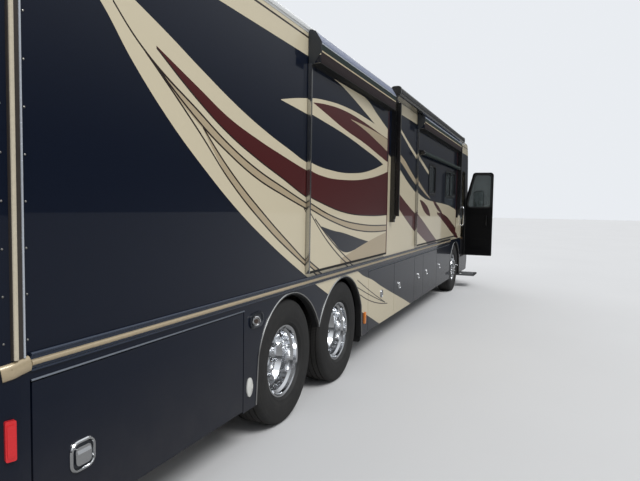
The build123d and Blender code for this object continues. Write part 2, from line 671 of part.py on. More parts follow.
def door_window(outer, inner):
    """The window's outline as a solid between two depths from the middle of the coach."""
    rear, front = DOOR_REAR + DOOR_RIM[0], DOOR_FRONT - DOOR_RIM[1]
    with BuildPart(mode=Mode.PRIVATE) as prism:
        with BuildSketch(Plane.XZ.offset(outer)) as opening:
            with BuildLine() as outline:
                Polyline((rear, WINDOW_Z[0]), (front, WINDOW_Z[0]), (front - WINDOW_LEAN, WINDOW_Z[1]),
                         (rear, WINDOW_Z[1]), (rear, WINDOW_Z[0]))
            make_face(outline.edges())
            fillet(opening.vertices(), WINDOW_R)
        extrude(opening.sketch, amount=inner - outer)
    return prism.part


with BuildPart(mode=Mode.PRIVATE) as closed_door:
    add(panel((DOOR_REAR, DOOR_FRONT), (-SIDE_Y - 5, -SIDE_Y + WALL), (DOOR_BOTTOM, DOOR_TOP))
        & doorway(0.0, SIDE_Y + 20, SIDE_Y - 2 * WALL))
    add(door_window(SIDE_Y + 20, SIDE_Y - 60), mode=Mode.SUBTRACT)
with BuildPart() as entry_door:
    add(closed_door.part.rotate(HINGE, 90))
save(entry_door, "entry_door")

with BuildPart() as entry_door_glass:
    add(door_window(SIDE_Y - 14, SIDE_Y - 20).rotate(HINGE, 90))
save(entry_door_glass, "entry_door_glass")

STEP_Z = (262.0, 300.0)
with BuildPart() as entry_step:
    block((5145, 5685), (-1600, -1310), STEP_Z)
    for x in (5150, 5640):
        block((x, x + 40), (-1320, -960), STEP_Z)
save(entry_step, "entry_step")

# Windows in the slide-outs: slide name, x ranges, z range
SLIDE_WINDOWS = {
    "slide_front_right": ([(1250.0, 1800.0), (2800.0, 3900.0)], (2050.0, 2540.0)),
    "slide_left": ([(-2400.0, -1300.0), (-200.0, 1100.0), (2000.0, 3400.0)],
                   (1850.0, 2560.0)),
}
FASCIA_IN = SIDE_Y + GAP
FASCIA_OUT = FASCIA_IN + 30.0
TOPPER_OUT = 110.0
TOPPER_H = 200.0
TOPPER_SHOULDER = 135.0


def topper(side, foot):
    """Section of a slide-out's rolled cover in its housing, round over the shoulder."""
    out = side * (FASCIA_IN + TOPPER_OUT)
    shoulder = (out, foot + TOPPER_SHOULDER)
    crown = (side * (FASCIA_IN + 30), foot + TOPPER_H)
    with BuildLine() as outline:
        Polyline((side * FASCIA_IN, foot + TOPPER_H), (side * FASCIA_IN, foot), (out, foot), shoulder)
        TangentArc(shoulder, crown, tangent=(0, 1))
        Line(crown, (side * FASCIA_IN, foot + TOPPER_H))
    make_face(outline.edges())


def slide_out(name, side, rear, front, low, high, depth):
    """Slide-out room: a box open to the cabin behind a fascia that laps the wall."""
    windows, span = SLIDE_WINDOWS.get(name, ([], (0.0, 0.0)))
    gap = 8.0
    with BuildPart() as piece:
        block((rear + gap, front - gap), (side * (SIDE_Y - depth), side * FASCIA_IN),
              (low + gap, high - gap))
        block((rear + gap + SLIDE_T, front - gap - SLIDE_T),
              (side * (SIDE_Y - depth - 10), side * FASCIA_IN),
              (low + gap + SLIDE_T, high - gap - SLIDE_T), Mode.SUBTRACT)
        block((rear - SLIDE_LIP, front + SLIDE_LIP), (side * FASCIA_IN, side * FASCIA_OUT),
              (low - SLIDE_LIP, high + SLIDE_LIP))
        for x in windows:
            block(x, (side * (FASCIA_IN - 10), side * (FASCIA_OUT + 10)), span, Mode.SUBTRACT)
        with BuildSketch(Plane.YZ.offset(rear - SLIDE_LIP)) as section:
            topper(side, high + SLIDE_LIP - 10)
        extrude(section.sketch, amount=front - rear + 2 * SLIDE_LIP)
    save(piece, name)
    if windows:
        with BuildPart() as panes:
            for x in windows:
                block(x, (side * (FASCIA_IN + 8), side * (FASCIA_IN + 16)), span)
        save(panes, f"{name}_glass")


for row in SLIDES:
    slide_out(*row)

AWNING_X = (-1020.0, 4440.0)
AWNING_ARMS = (-1000.0, 4200.0)
CASSETTE_R = 42.0
with BuildPart() as awnings:
    block(AWNING_X, (-SIDE_Y - 130, -SIDE_Y), (EAVE - 50, EAVE + 70))
    fillet(awnings.edges().filter_by(Axis.X).group_by(Axis.Y)[0], CASSETTE_R)
    add(OUTER, mode=Mode.SUBTRACT)
    for x in AWNING_ARMS:
        block((x, x + 60), (-SIDE_Y - 60, -SIDE_Y), (1620, EAVE - 45))
save(awnings, "awnings")

# Mirror heads: rear face x, depth, width, z range, corner radius, radius of the front edges
MIRROR = (6000.0, 110.0, 250.0, (1800.0, 2260.0), 60.0, 40.0)
MIRROR_RIM = 22.0
SPOT_TOP = 1920.0
with BuildPart() as mirrors:
    back, deep, wide, (low, high), corner, soft = MIRROR
    for side in (-1, 1):
        y = side * (SIDE_Y + 277)
        rod((6020, side * (SIDE_Y - 102), 1760), (6060, y, 1700), 22)
        rod((6060, y, 1690), (6060, y, 1900), 22)
        with BuildPart(mode=Mode.PRIVATE) as head:
            block((back, back + deep), (y - wide / 2, y + wide / 2), (low, high))
            fillet(head.edges().filter_by(Axis.X), corner)
            fillet(head.faces().sort_by(Axis.X)[-1].edges(), soft)
            half = wide / 2 - MIRROR_RIM
            for z in ((low + MIRROR_RIM, SPOT_TOP - 8), (SPOT_TOP + 8, high - MIRROR_RIM)):
                with BuildSketch(Plane.YZ.offset(back)) as glass:
                    with Locations((y, sum(z) / 2)):
                        RectangleRounded(2 * half, z[1] - z[0], 40)
                extrude(glass.sketch, amount=4, mode=Mode.SUBTRACT)
        add(head.part)
    add(OUTER, mode=Mode.SUBTRACT)
save(mirrors, "mirrors")

# Oval grab handle that stands out from the wall: x, z range, reach, bar width
HANDLE_X = 4850.0
HANDLE_Z = (1420.0, 1860.0)
HANDLE_OUT = 108.0
HANDLE_BAR = 26.0
with BuildPart() as grab_handle:
    with BuildSketch(Plane.YZ.offset(HANDLE_X - HANDLE_BAR / 2)):
        with Locations((-SIDE_Y - HANDLE_OUT / 2, sum(HANDLE_Z) / 2)):
            length = HANDLE_Z[1] - HANDLE_Z[0]
            SlotOverall(length, HANDLE_OUT, rotation=90)
            SlotOverall(length - 2 * HANDLE_BAR, HANDLE_OUT - 2 * HANDLE_BAR, rotation=90,
                        mode=Mode.SUBTRACT)
    extrude(amount=HANDLE_BAR)
    fillet(grab_handle.faces().filter_by(Axis.X).edges(), 0.42 * HANDLE_BAR)
save(grab_handle, "grab_handle")

with BuildPart() as dashboard:
    with BuildSketch(Plane.XZ.offset(SIDE_Y - 182)):
        with BuildLine():
            Polyline((5880, FLOOR_TOP), (5880, 1480), (5840, 1640), (5930, 1740), (6340, 1600),
                     (6420, FLOOR_TOP), (5880, FLOOR_TOP))
        make_face()
    extrude(amount=-2 * (SIDE_Y - 182))
    add(INNER, mode=Mode.INTERSECT)
    block((5800, 6500), (-SIDE_Y + 100, -SIDE_Y + 592), (FLOOR_TOP - 5, 1300), Mode.SUBTRACT)
    rod((5900, 620, 1560), (5700, 620, 1690), 35)
    with Locations(Plane(origin=(5700, 620, 1690), z_dir=(-1, 0, 0.65))):
        Torus(220, 16)
        Box(420, 40, 16)
save(dashboard, "dashboard")

# Cab seats: x, y. Each is a pedestal, a cushion, a leaning back, a head rest and two arm rests.
SEATS = [(5150.0, 620.0), (4900.0, -400.0)]
SEAT_W = 500.0
SEAT_SOFT = 38.0


def cushion(outline_points, y, width, soft):
    """A soft block: an outline seen from the side, as wide as told, with rounded edges."""
    with BuildPart(mode=Mode.PRIVATE) as pad:
        with BuildSketch(Plane.XZ.offset(-y - width / 2)) as section:
            with BuildLine() as outline:
                Polyline(*outline_points, outline_points[0])
            make_face(outline.edges())
        extrude(section.sketch, amount=width)
        fillet(pad.edges(), soft)
    return pad.part


with BuildPart() as cab_seats:
    for x, y in SEATS:
        rod((x, y, FLOOR_TOP), (x, y, FLOOR_TOP + 30), 190)
        rod((x, y, FLOOR_TOP), (x, y, 1500), 75)
        block((x - 230, x + 230), (y - 220, y + 220), (1450, 1490))
        add(cushion([(x - 240, 1475), (x + 290, 1475), (x + 290, 1610), (x - 240, 1590)],
                    y, SEAT_W, SEAT_SOFT))
        add(cushion([(x - 300, 1500), (x - 170, 1500), (x - 290, 2120), (x - 405, 2120)],
                    y, SEAT_W - 20, SEAT_SOFT))
        add(cushion([(x - 395, 2080), (x - 300, 2080), (x - 325, 2330), (x - 410, 2330)],
                    y, SEAT_W - 220, SEAT_SOFT))
        for side in (-1, 1):
            arm = y + side * (SEAT_W / 2 + 30)
            rod((x - 250, arm, 1740), (x + 140, arm, 1760), 26)
            rod((x - 250, y, 1740), (x - 250, arm, 1740), 18)
save(cab_seats, "cab_seats")

# Roof units: x, half length, half width, height above the crown
ROOF_UNITS = [
    (-4300.0, 480.0, 360.0, 300.0),
    (300.0, 480.0, 360.0, 300.0),
    (3400.0, 480.0, 360.0, 300.0),
    (-1700.0, 200.0, 200.0, 150.0),
    (2100.0, 200.0, 200.0, 150.0),
]
SHROUD_TAPER = 0.35
with BuildPart() as roof_equipment:
    for x, half_x, half_y, height in ROOF_UNITS:
        draw_in = SHROUD_TAPER * height
        with BuildPart(mode=Mode.PRIVATE) as shroud:
            for z, inset in ((ROOF_CROWN - 60, 0.0), (ROOF_CROWN + height, draw_in)):
                with BuildSketch(Plane.XY.offset(z)):
                    with Locations((x, 0)):
                        RectangleRounded(2 * (half_x - inset), 2 * (half_y - inset), half_y / 4)
            loft()
            fillet(shroud.edges().group_by(Axis.Z)[-1], height / 8)
        add(shroud.part)
    add(OUTER, mode=Mode.SUBTRACT)
save(roof_equipment, "roof_equipment")
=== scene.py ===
# The motorhome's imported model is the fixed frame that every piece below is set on.
# Lengths are in metres; X runs forward, Y to the left and Z up from the road.
import math
import bmesh
import bpy
from mathutils import Matrix, Vector
from mathutils.bvhtree import BVHTree


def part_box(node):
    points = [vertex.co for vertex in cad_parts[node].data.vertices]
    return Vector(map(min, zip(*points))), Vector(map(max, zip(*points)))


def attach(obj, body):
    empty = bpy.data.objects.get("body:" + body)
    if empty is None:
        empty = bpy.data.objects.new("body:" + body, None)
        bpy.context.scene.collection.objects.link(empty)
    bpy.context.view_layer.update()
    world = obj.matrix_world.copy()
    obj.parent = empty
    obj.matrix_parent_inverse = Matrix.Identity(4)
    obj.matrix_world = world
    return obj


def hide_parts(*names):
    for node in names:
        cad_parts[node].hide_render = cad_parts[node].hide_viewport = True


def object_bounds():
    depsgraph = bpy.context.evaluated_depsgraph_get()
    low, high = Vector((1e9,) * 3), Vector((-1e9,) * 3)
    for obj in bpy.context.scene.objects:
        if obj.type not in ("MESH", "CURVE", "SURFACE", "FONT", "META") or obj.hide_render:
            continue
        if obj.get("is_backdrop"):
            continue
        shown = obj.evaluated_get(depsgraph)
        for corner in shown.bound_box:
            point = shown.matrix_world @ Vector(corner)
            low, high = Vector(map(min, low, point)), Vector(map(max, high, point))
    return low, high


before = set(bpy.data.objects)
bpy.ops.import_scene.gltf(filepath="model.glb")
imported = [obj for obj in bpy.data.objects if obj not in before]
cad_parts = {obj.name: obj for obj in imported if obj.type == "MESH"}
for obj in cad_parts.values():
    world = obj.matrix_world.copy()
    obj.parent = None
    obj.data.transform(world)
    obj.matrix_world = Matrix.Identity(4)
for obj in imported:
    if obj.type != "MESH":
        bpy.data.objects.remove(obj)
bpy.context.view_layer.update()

# The camera stands near the right rear corner, about 1.8 m up, and looks forward along the side.
# Its place was fitted to the trim lines and wheels.
CAMERA_PLACE = Vector((-8.128, -3.270, 1.808))
CAMERA_YAW, CAMERA_PITCH, CAMERA_ROLL = (math.radians(a) for a in (22.59, -3.45, 0.92))
FOCAL_PIXELS = 560.9
PICTURE_WIDTH = 640


def stand(name, data):
    """Put an object that holds this data into the scene."""
    made = bpy.data.objects.new(name, data)
    bpy.context.scene.collection.objects.link(made)
    return made


forward = Vector((math.cos(CAMERA_PITCH) * math.cos(CAMERA_YAW),
                  math.cos(CAMERA_PITCH) * math.sin(CAMERA_YAW), math.sin(CAMERA_PITCH)))
level = Vector((math.sin(CAMERA_YAW), -math.cos(CAMERA_YAW), 0))
upright = level.cross(forward)
right_way = math.cos(CAMERA_ROLL) * level + math.sin(CAMERA_ROLL) * upright
up_way = -math.sin(CAMERA_ROLL) * level + math.cos(CAMERA_ROLL) * upright
lens = bpy.data.cameras.new("camera")
lens.sensor_fit = "HORIZONTAL"
lens.sensor_width = 36.0
lens.lens = FOCAL_PIXELS / PICTURE_WIDTH * lens.sensor_width
lens.clip_end = 500.0
camera = stand("camera", lens)
turned = Matrix((right_way, up_way, -forward)).transposed().to_4x4()
camera.matrix_world = Matrix.Translation(CAMERA_PLACE) @ turned
bpy.context.scene.camera = camera
bpy.context.scene.view_settings.view_transform = "Standard"


# The stage is a wide pale floor under a pale sky, with one broad soft lamp high on the right
# and a weaker one ahead. The floor and the foot of the sky are darker where something mirrors them.
def fill(tree, node, inputs):
    """Fill or link some of a node's inputs."""
    for name, value in inputs.items():
        if isinstance(value, bpy.types.NodeSocket):
            tree.links.new(value, node.inputs[name])
        else:
            node.inputs[name].default_value = value


def put(tree, kind, inputs=None, **settings):
    """Add a node, set its settings and fill or link its inputs."""
    made = tree.nodes.new(kind)
    for name, value in settings.items():
        setattr(made, name, value)
    fill(tree, made, inputs or {})
    return made


def calc(tree, operation, first, second=0.0, third=0.0):
    """One sum on two or three values or sockets."""
    return put(tree, "ShaderNodeMath", {0: first, 1: second, 2: third},
               operation=operation).outputs[0]


def ramp(tree, value, low, high, to_low=0.0, to_high=1.0, **settings):
    """A value carried from one range to another and held at its ends."""
    return put(tree, "ShaderNodeMapRange", {"Value": value, "From Min": low, "From Max": high,
                                            "To Min": to_low, "To Max": to_high},
               **settings).outputs[0]


def split(tree, vector):
    """The three parts of a vector."""
    return put(tree, "ShaderNodeSeparateXYZ", {0: vector}).outputs


def joined(tree, **parts):
    """A vector made of some of its parts."""
    return put(tree, "ShaderNodeCombineXYZ", parts).outputs[0]


def rgb(red, green, blue):
    """An opaque colour."""
    return (red, green, blue, 1.0)


def blank_finish(name):
    """A new material with a Principled shader; returns it, its tree and its shader."""
    made = bpy.data.materials.new(name)
    made.use_nodes = True
    return made, made.node_tree, made.node_tree.nodes["Principled BSDF"]


sky = bpy.data.worlds.new("sky")
bpy.context.scene.world = sky
sky.use_nodes = True
tree = sky.node_tree
ray = put(tree, "ShaderNodeLightPath").outputs
seen = calc(tree, "MAXIMUM", ray["Is Camera Ray"],
            calc(tree, "MAXIMUM", ray["Is Glossy Ray"], ray["Is Transmission Ray"]))
shown = tree.nodes["Background"]
shown.inputs["Color"].default_value = rgb(0.86, 0.89, 0.93)
rise = split(tree, put(tree, "ShaderNodeTexCoord").outputs["Generated"])["Z"]
dim = ramp(tree, rise, 0.05, 0.70, 0.88, 0.0, interpolation_type="SMOOTHSTEP")
lost = calc(tree, "MULTIPLY", ray["Is Glossy Ray"], dim)
tree.links.new(calc(tree, "SUBTRACT", calc(tree, "MULTIPLY_ADD", seen, 0.40, 0.55), lost),
               shown.inputs["Strength"])

floor_finish, tree, shader = blank_finish("pale_floor")
grit = put(tree, "ShaderNodeTexNoise", {"Scale": 60.0, "Detail": 3.0}).outputs["Fac"]
mirrored = put(tree, "ShaderNodeLightPath").outputs["Is Glossy Ray"]
grey = calc(tree, "MULTIPLY", ramp(tree, grit, 0.0, 1.0, 0.76, 0.82),
            ramp(tree, mirrored, 0.0, 1.0, 1.0, 0.35))
even_grey = put(tree, "ShaderNodeCombineColor", {"Red": grey, "Green": grey, "Blue": grey})
fill(tree, shader, {"Base Color": even_grey.outputs[0], "Roughness": 0.9})
mesh = bpy.data.meshes.new("floor_sheet")
mesh.from_pydata([(-80, -80, 0), (120, -80, 0), (120, 80, 0), (-80, 80, 0)], [], [(0, 1, 2, 3)])
mesh.materials.append(floor_finish)
ground = stand("ground", mesh)
ground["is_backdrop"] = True

for name, angles, strength, spread in (("high_right", (38, 0, -25), 1.5, 25),
                                       ("ahead", (60, 0, 120), 0.5, 40)):
    lamp = bpy.data.lights.new(name, "SUN")
    lamp.energy = strength
    lamp.angle = math.radians(spread)
    stand(name, lamp).rotation_euler = [math.radians(a) for a in angles]


# The body paint: near-black navy under clear coat, with cream, tan and maroon bands that sweep
# forward along both sides. Each band is an upper and a lower line. Inside faces are lining, pale
# in the rooms and dark in the doors and bays.
NAVY = rgb(0.003, 0.006, 0.016)
CREAM = rgb(0.68, 0.60, 0.43)
TAN = rgb(0.47, 0.38, 0.25)
MAROON = rgb(0.075, 0.010, 0.010)
PIN = rgb(0.02, 0.012, 0.010)
LINING = rgb(0.56, 0.50, 0.41)
DARK_LINING = rgb(0.012, 0.012, 0.013)
# Band: colour, then x, upper z, lower z along it
BANDS = [
    (CREAM, [(-6.50, 3.10, 3.085), (-6.06, 2.915, 2.75), (-5.85, 2.84, 2.53), (-5.55, 2.735, 2.27),
             (-5.26, 2.625, 2.06), (-4.79, 2.46, 1.76), (-4.36, 2.34, 1.53), (-4.01, 2.26, 1.36),
             (-3.69, 2.19, 1.215), (-3.16, 2.15, 0.98), (-2.59, 2.16, 0.70), (-2.0, 2.225, 0.30),
             (-1.15, 2.42, 0.20)]),
    (CREAM, [(-1.16, 2.50, 1.10), (-0.6, 2.36, 1.10), (0.0, 2.17, 1.10), (0.8, 1.99, 1.10),
             (1.6, 1.93, 1.10), (2.6, 1.90, 1.13), (3.6, 1.84, 1.152), (4.6, 1.70, 1.152),
             (5.4, 1.50, 1.152), (6.1, 1.14, 1.152)]),
    (TAN, [(-5.75, 2.60, 2.59), (-5.26, 2.36, 2.285), (-4.94, 2.21, 2.15), (-4.57, 2.075, 2.01),
           (-4.11, 1.95, 1.89), (-3.68, 1.84, 1.79), (-3.14, 1.72, 1.67), (-2.39, 1.63, 1.56),
           (-1.18, 1.59, 1.52)]),
    (TAN, [(-5.23, 2.285, 2.27), (-4.92, 2.04, 1.97), (-4.43, 1.74, 1.66), (-3.99, 1.50, 1.44),
           (-3.66, 1.33, 1.28), (-3.15, 1.13, 1.07)]),
    (MAROON, [(-5.66, 2.65, 2.64), (-5.26, 2.50, 2.42), (-4.95, 2.385, 2.28), (-4.57, 2.29, 2.15),
              (-4.12, 2.20, 2.02), (-3.71, 2.125, 1.90), (-3.46, 2.09, 1.85), (-2.81, 2.08, 1.755),
              (-2.0, 2.14, 1.715), (-1.26, 2.26, 1.72)]),
    (NAVY, [(-3.41, 1.63, 1.62), (-3.1, 1.58, 1.47), (-2.84, 1.55, 1.36), (-2.4, 1.48, 1.36),
            (-1.93, 1.41, 1.40)]),
    (TAN, [(-2.9, 1.29, 1.20), (-2.0, 1.42, 1.20), (-1.26, 1.50, 1.20)]),
    (CREAM, [(-4.18, 2.635, 2.63), (-3.7, 2.73, 2.60), (-3.37, 2.77, 2.575), (-2.85, 2.80, 2.53),
             (-2.21, 2.79, 2.45), (-1.65, 2.755, 2.37), (-1.30, 2.72, 2.30)]),
    (MAROON, [(-3.63, 2.705, 2.70), (-3.31, 2.74, 2.65), (-2.85, 2.76, 2.58), (-2.21, 2.735, 2.51),
              (-1.65, 2.69, 2.43), (-1.30, 2.665, 2.38)]),
    (TAN, [(-2.66, 2.705, 2.70), (-2.2, 2.70, 2.655), (-1.65, 2.68, 2.57), (-1.30, 2.655, 2.51)]),
    (CREAM, [(-3.56, 3.03, 3.02), (-3.04, 3.02, 2.995), (-2.71, 3.015, 2.945),
             (-2.12, 2.99, 2.83), (-1.75, 2.895, 2.755), (-1.30, 2.785, 2.705)]),
    (MAROON, [(-0.70, 2.06, 1.87), (-0.11, 1.88, 1.64), (0.66, 1.67, 1.39), (1.69, 1.35, 1.14),
              (2.4, 1.14, 1.03), (3.1, 1.0, 0.99)]),
    (MAROON, [(0.62, 1.94, 1.93), (0.95, 1.90, 1.76), (1.35, 1.76, 1.68), (1.43, 1.69, 1.68)]),
    (MAROON, [(1.60, 1.96, 1.95), (1.95, 1.90, 1.82), (2.3, 1.81, 1.74), (2.59, 1.70, 1.69)]),
    (MAROON, [(2.05, 1.74, 1.71), (2.85, 1.68, 1.52), (3.6, 1.53, 1.33), (4.3, 1.34, 1.19),
              (4.75, 1.17, 1.16)]),
    (CREAM, [(-0.95, 3.02, 3.00), (-0.3, 2.83, 2.78), (0.4, 2.64, 2.58), (1.1, 2.46, 2.40),
             (1.8, 2.26, 2.25)]),
    (TAN, [(-1.0, 2.60, 2.58), (-0.4, 2.52, 2.42), (0.2, 2.33, 2.24), (0.9, 2.11, 2.06),
           (1.4, 1.98, 1.97)]),
]
# The paint below the belt: the same columns, for the skirts and baggage doors
SKIRT_BANDS = [
    (CREAM, [(-3.69, 1.215, 1.214), (-3.16, 1.17, 0.98), (-2.59, 1.17, 0.76), (-2.34, 1.13, 0.69),
             (-2.05, 1.03, 0.605), (-1.71, 0.945, 0.48), (-1.32, 0.82, 0.334), (-0.88, 0.69, 0.20),
             (0.12, 0.40, 0.20), (0.34, 0.33, 0.20)]),
]
# Thin dark lines: half width, then x, z along it
PIN_LINES = [
    (0.007, [(-5.98, 2.78), (-5.75, 2.60), (-5.26, 2.36), (-4.94, 2.21), (-4.57, 2.075),
             (-4.11, 1.95), (-3.68, 1.84), (-3.14, 1.72), (-2.39, 1.63), (-1.18, 1.59)]),
    (0.007, [(-5.75, 2.60), (-5.23, 2.285), (-4.94, 2.15), (-4.57, 2.01), (-4.11, 1.89),
             (-3.68, 1.79), (-3.14, 1.67), (-2.39, 1.56), (-1.18, 1.52)]),
    (0.008, [(-5.75, 2.60), (-5.26, 2.24), (-4.92, 1.97), (-4.42, 1.66), (-3.99, 1.44),
             (-3.15, 1.07)]),
    (0.008, [(-5.23, 2.28), (-4.92, 2.04), (-4.43, 1.74), (-3.99, 1.50), (-3.66, 1.33),
             (-3.15, 1.13)]),
    (0.006, [(-5.66, 2.64), (-5.26, 2.42), (-4.95, 2.28), (-4.57, 2.15), (-4.12, 2.02),
             (-3.71, 1.90), (-3.46, 1.85), (-2.81, 1.755), (-2.0, 1.715), (-1.26, 1.72)]),
    (0.008, [(-3.73, 1.80), (-3.19, 1.45), (-2.42, 1.13)]),
    (0.008, [(-3.56, 1.70), (-3.0, 1.41), (-2.3, 1.14)]),
]
SKIRT_LINES = [
    (0.006, [(-2.25, 1.00), (-1.65, 0.77), (-1.11, 0.58)]),
    (0.006, [(-2.25, 0.92), (-1.75, 0.76), (-1.11, 0.58)]),
    (0.006, [(-2.25, 0.86), (-1.7, 0.68), (-1.0, 0.55)]),
]
# Cream covers all above the roof band; a dark line runs along the eaves
ROOF_BAND, ROOF_LINE = 3.09, 3.245
BODY_HEIGHT = 4.0
# The body's middle line, from which outside and inside faces are told apart
CORE_REAR, CORE_FRONT, CORE_Z = -6.2, 5.2, 2.0
INSIDE_LIMIT = -0.25
LINING_FOOT = 1.02


def edge_line(tree, along, points, column):
    """Height of one edge of a band, read from its points."""
    first, last = points[0][0], points[-1][0]
    curve = put(tree, "ShaderNodeFloatCurve", {"Value": ramp(tree, along, first, last)})
    line = curve.mapping.curves[0]
    places = [((row[0] - first) / (last - first), row[column] / BODY_HEIGHT) for row in points]
    line.points[0].location = places[0]
    line.points[1].location = places[-1]
    for place in places[1:-1]:
        line.points.new(*place)
    curve.mapping.update()
    return calc(tree, "MULTIPLY", curve.outputs[0], BODY_HEIGHT)


def within(tree, value, low, high):
    """One where a value lies between two others."""
    return calc(tree, "MULTIPLY", calc(tree, "GREATER_THAN", value, low),
                calc(tree, "LESS_THAN", value, high))


def lay(tree, under, mask, colour):
    """Paint a colour over another where the mask is one."""
    return put(tree, "ShaderNodeMix", {"Factor": mask, 6: under, 7: colour},
               data_type="RGBA").outputs[2]


def speckle(tree, place, grain, detail=2.0, rough=0.5):
    """Noise from zero to one, of the given grain per metre."""
    return put(tree, "ShaderNodeTexNoise", {"Vector": place, "Scale": grain, "Detail": detail,
                                            "Roughness": rough}).outputs["Fac"]


def make_livery(name, bands, lines):
    """Node group: place on the body in, paint colour out."""
    group = bpy.data.node_groups.new(name, "ShaderNodeTree")
    group.interface.new_socket("Place", in_out="INPUT", socket_type="NodeSocketVector")
    group.interface.new_socket("Colour", in_out="OUTPUT", socket_type="NodeSocketColor")
    start = group.nodes.new("NodeGroupInput")
    end = group.nodes.new("NodeGroupOutput")
    x, y, z = split(group, start.outputs["Place"])
    glint = ramp(group, speckle(group, start.outputs["Place"], 700.0, 1.0), 0.45, 0.75)
    colour = lay(group, NAVY, glint, rgb(0.006, 0.011, 0.026))
    if bands is BANDS:
        colour = lay(group, colour, calc(group, "GREATER_THAN", z, ROOF_BAND), CREAM)
        colour = lay(group, colour, within(group, z, ROOF_LINE - 0.008, ROOF_LINE + 0.008), PIN)
    for paint, points in bands:
        high, low = (edge_line(group, x, points, column) for column in (1, 2))
        mask = calc(group, "MULTIPLY", within(group, z, low, high),
                    within(group, x, points[0][0], points[-1][0]))
        colour = lay(group, colour, mask, paint)
    for half, points in lines:
        away = calc(group, "SUBTRACT", z, edge_line(group, x, points, 1))
        mask = calc(group, "MULTIPLY", within(group, away, -half, half),
                    within(group, x, points[0][0], points[-1][0]))
        colour = lay(group, colour, mask, PIN)
    group.links.new(colour, end.inputs["Colour"])
    return group


upper_livery = make_livery("upper_livery", BANDS, PIN_LINES)
lower_livery = make_livery("lower_livery", SKIRT_BANDS, SKIRT_LINES)


def body_paint(name, livery, swung=None):
    """Glossy body paint outside and lining inside; swung maps an open door back to closed."""
    made, tree, shader = blank_finish(name)
    own = put(tree, "ShaderNodeTexCoord").outputs
    place, facing = own["Object"], own["Normal"]
    if swung:
        angle, shift = swung
        turn = {"Rotation": (0, 0, angle)}
        place = put(tree, "ShaderNodeMapping", {"Vector": place, "Location": shift, **turn}).outputs[0]
        facing = put(tree, "ShaderNodeMapping", {"Vector": facing, **turn}).outputs[0]
    x, y, z = split(tree, place)
    core = calc(tree, "MINIMUM", calc(tree, "MAXIMUM", x, CORE_REAR), CORE_FRONT)
    outward = put(tree, "ShaderNodeVectorMath", {0: place, 1: joined(tree, X=core, Z=CORE_Z)},
                  operation="SUBTRACT").outputs[0]
    agree = put(tree, "ShaderNodeVectorMath", {0: outward, 1: facing},
                operation="DOT_PRODUCT").outputs["Value"]
    inside = calc(tree, "LESS_THAN", agree, INSIDE_LIMIT)
    paint = put(tree, "ShaderNodeGroup", node_tree=livery)
    tree.links.new(place, paint.inputs["Place"])
    low = calc(tree, "MULTIPLY", ramp(tree, z, 0.95, 0.3), 0.13)
    dust = calc(tree, "MULTIPLY", low, speckle(tree, place, 3.0, 8.0, 0.7))
    colour = lay(tree, paint.outputs["Colour"], dust, rgb(0.28, 0.25, 0.21))
    lining = lay(tree, DARK_LINING, calc(tree, "GREATER_THAN", z, LINING_FOOT),
                 DARK_LINING if swung or livery is lower_livery else LINING)
    rough = calc(tree, "MULTIPLY_ADD", dust, 1.5, 0.28)
    fill(tree, shader, {"Base Color": lay(tree, colour, inside, lining),
                        "Roughness": calc(tree, "MAXIMUM", rough, calc(tree, "MULTIPLY", inside, 0.8)),
                        "Specular IOR Level": 0.12, "Coat Weight": calc(tree, "SUBTRACT", 1.0, inside),
                        "Coat Roughness": 0.025, "Coat IOR": 1.36})
    return made


def dress(look, *names):
    """Give CAD nodes a finish."""
    for name in names:
        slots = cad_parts[name].data.materials
        slots.clear()
        slots.append(look)


RIGHT_DOORS = [f"bay_door_right_{n}" for n in range(1, 7)]
LEFT_DOORS = [f"bay_door_left_{n}" for n in range(1, 5)]
upper_paint = body_paint("upper_paint", upper_livery)
lower_paint = body_paint("lower_paint", lower_livery)
dress(upper_paint, "wall_right", "wall_left", "slide_rear_right", "slide_front_right",
      "slide_left", "front_cap", "rear_cap")
dress(lower_paint, "skirt_right", "skirt_left", "rear_hatch", *RIGHT_DOORS, *LEFT_DOORS)
HINGE = Vector((5.750, -1.2905, 0))
SWUNG = math.radians(-90)
door_turn = Matrix.Rotation(SWUNG, 3, "Z")
door_paint = body_paint("door_paint", upper_livery, (SWUNG, HINGE - door_turn @ HINGE))
dress(door_paint, "entry_door")


# Plain finishes of the rest of the CAD: each is a Principled shader whose colour, roughness
# and small bumps vary with noise, so that no surface is one flat colour.
def own_place(tree):
    """Places on a piece, in the piece's own frame."""
    return put(tree, "ShaderNodeTexCoord").outputs["Object"]


def embossed(tree, height, strength, deep):
    """A normal that a height tilts."""
    return put(tree, "ShaderNodeBump", {"Height": height, "Strength": strength,
                                        "Distance": deep}).outputs[0]


def finish(name, colour, rough, metal=0.0, grain=40.0, vary=0.15, bump=0.05, coat=0.0,
           stretch=(1, 1, 1), **sockets):
    """A finish whose colour and roughness wander with a noise of the given grain per metre."""
    made, tree, shader = blank_finish(name)
    place = put(tree, "ShaderNodeMapping", {"Vector": own_place(tree), "Scale": stretch}).outputs[0]
    noise = speckle(tree, place, grain, 5.0, 0.6)
    dark = rgb(*(c * (1 - vary) for c in colour))
    light = rgb(*(min(1.0, c * (1 + vary)) for c in colour))
    rough_low, rough_high = max(0.0, rough - 0.08), min(1.0, rough + 0.08)
    fill(tree, shader, {"Base Color": lay(tree, dark, noise, light), "Metallic": metal,
                        "Roughness": ramp(tree, noise, 0.0, 1.0, rough_low, rough_high),
                        "Normal": embossed(tree, noise, bump, 0.002), "Coat Weight": coat})
    fill(tree, shader, {socket.replace("_", " "): value for socket, value in sockets.items()})
    return made


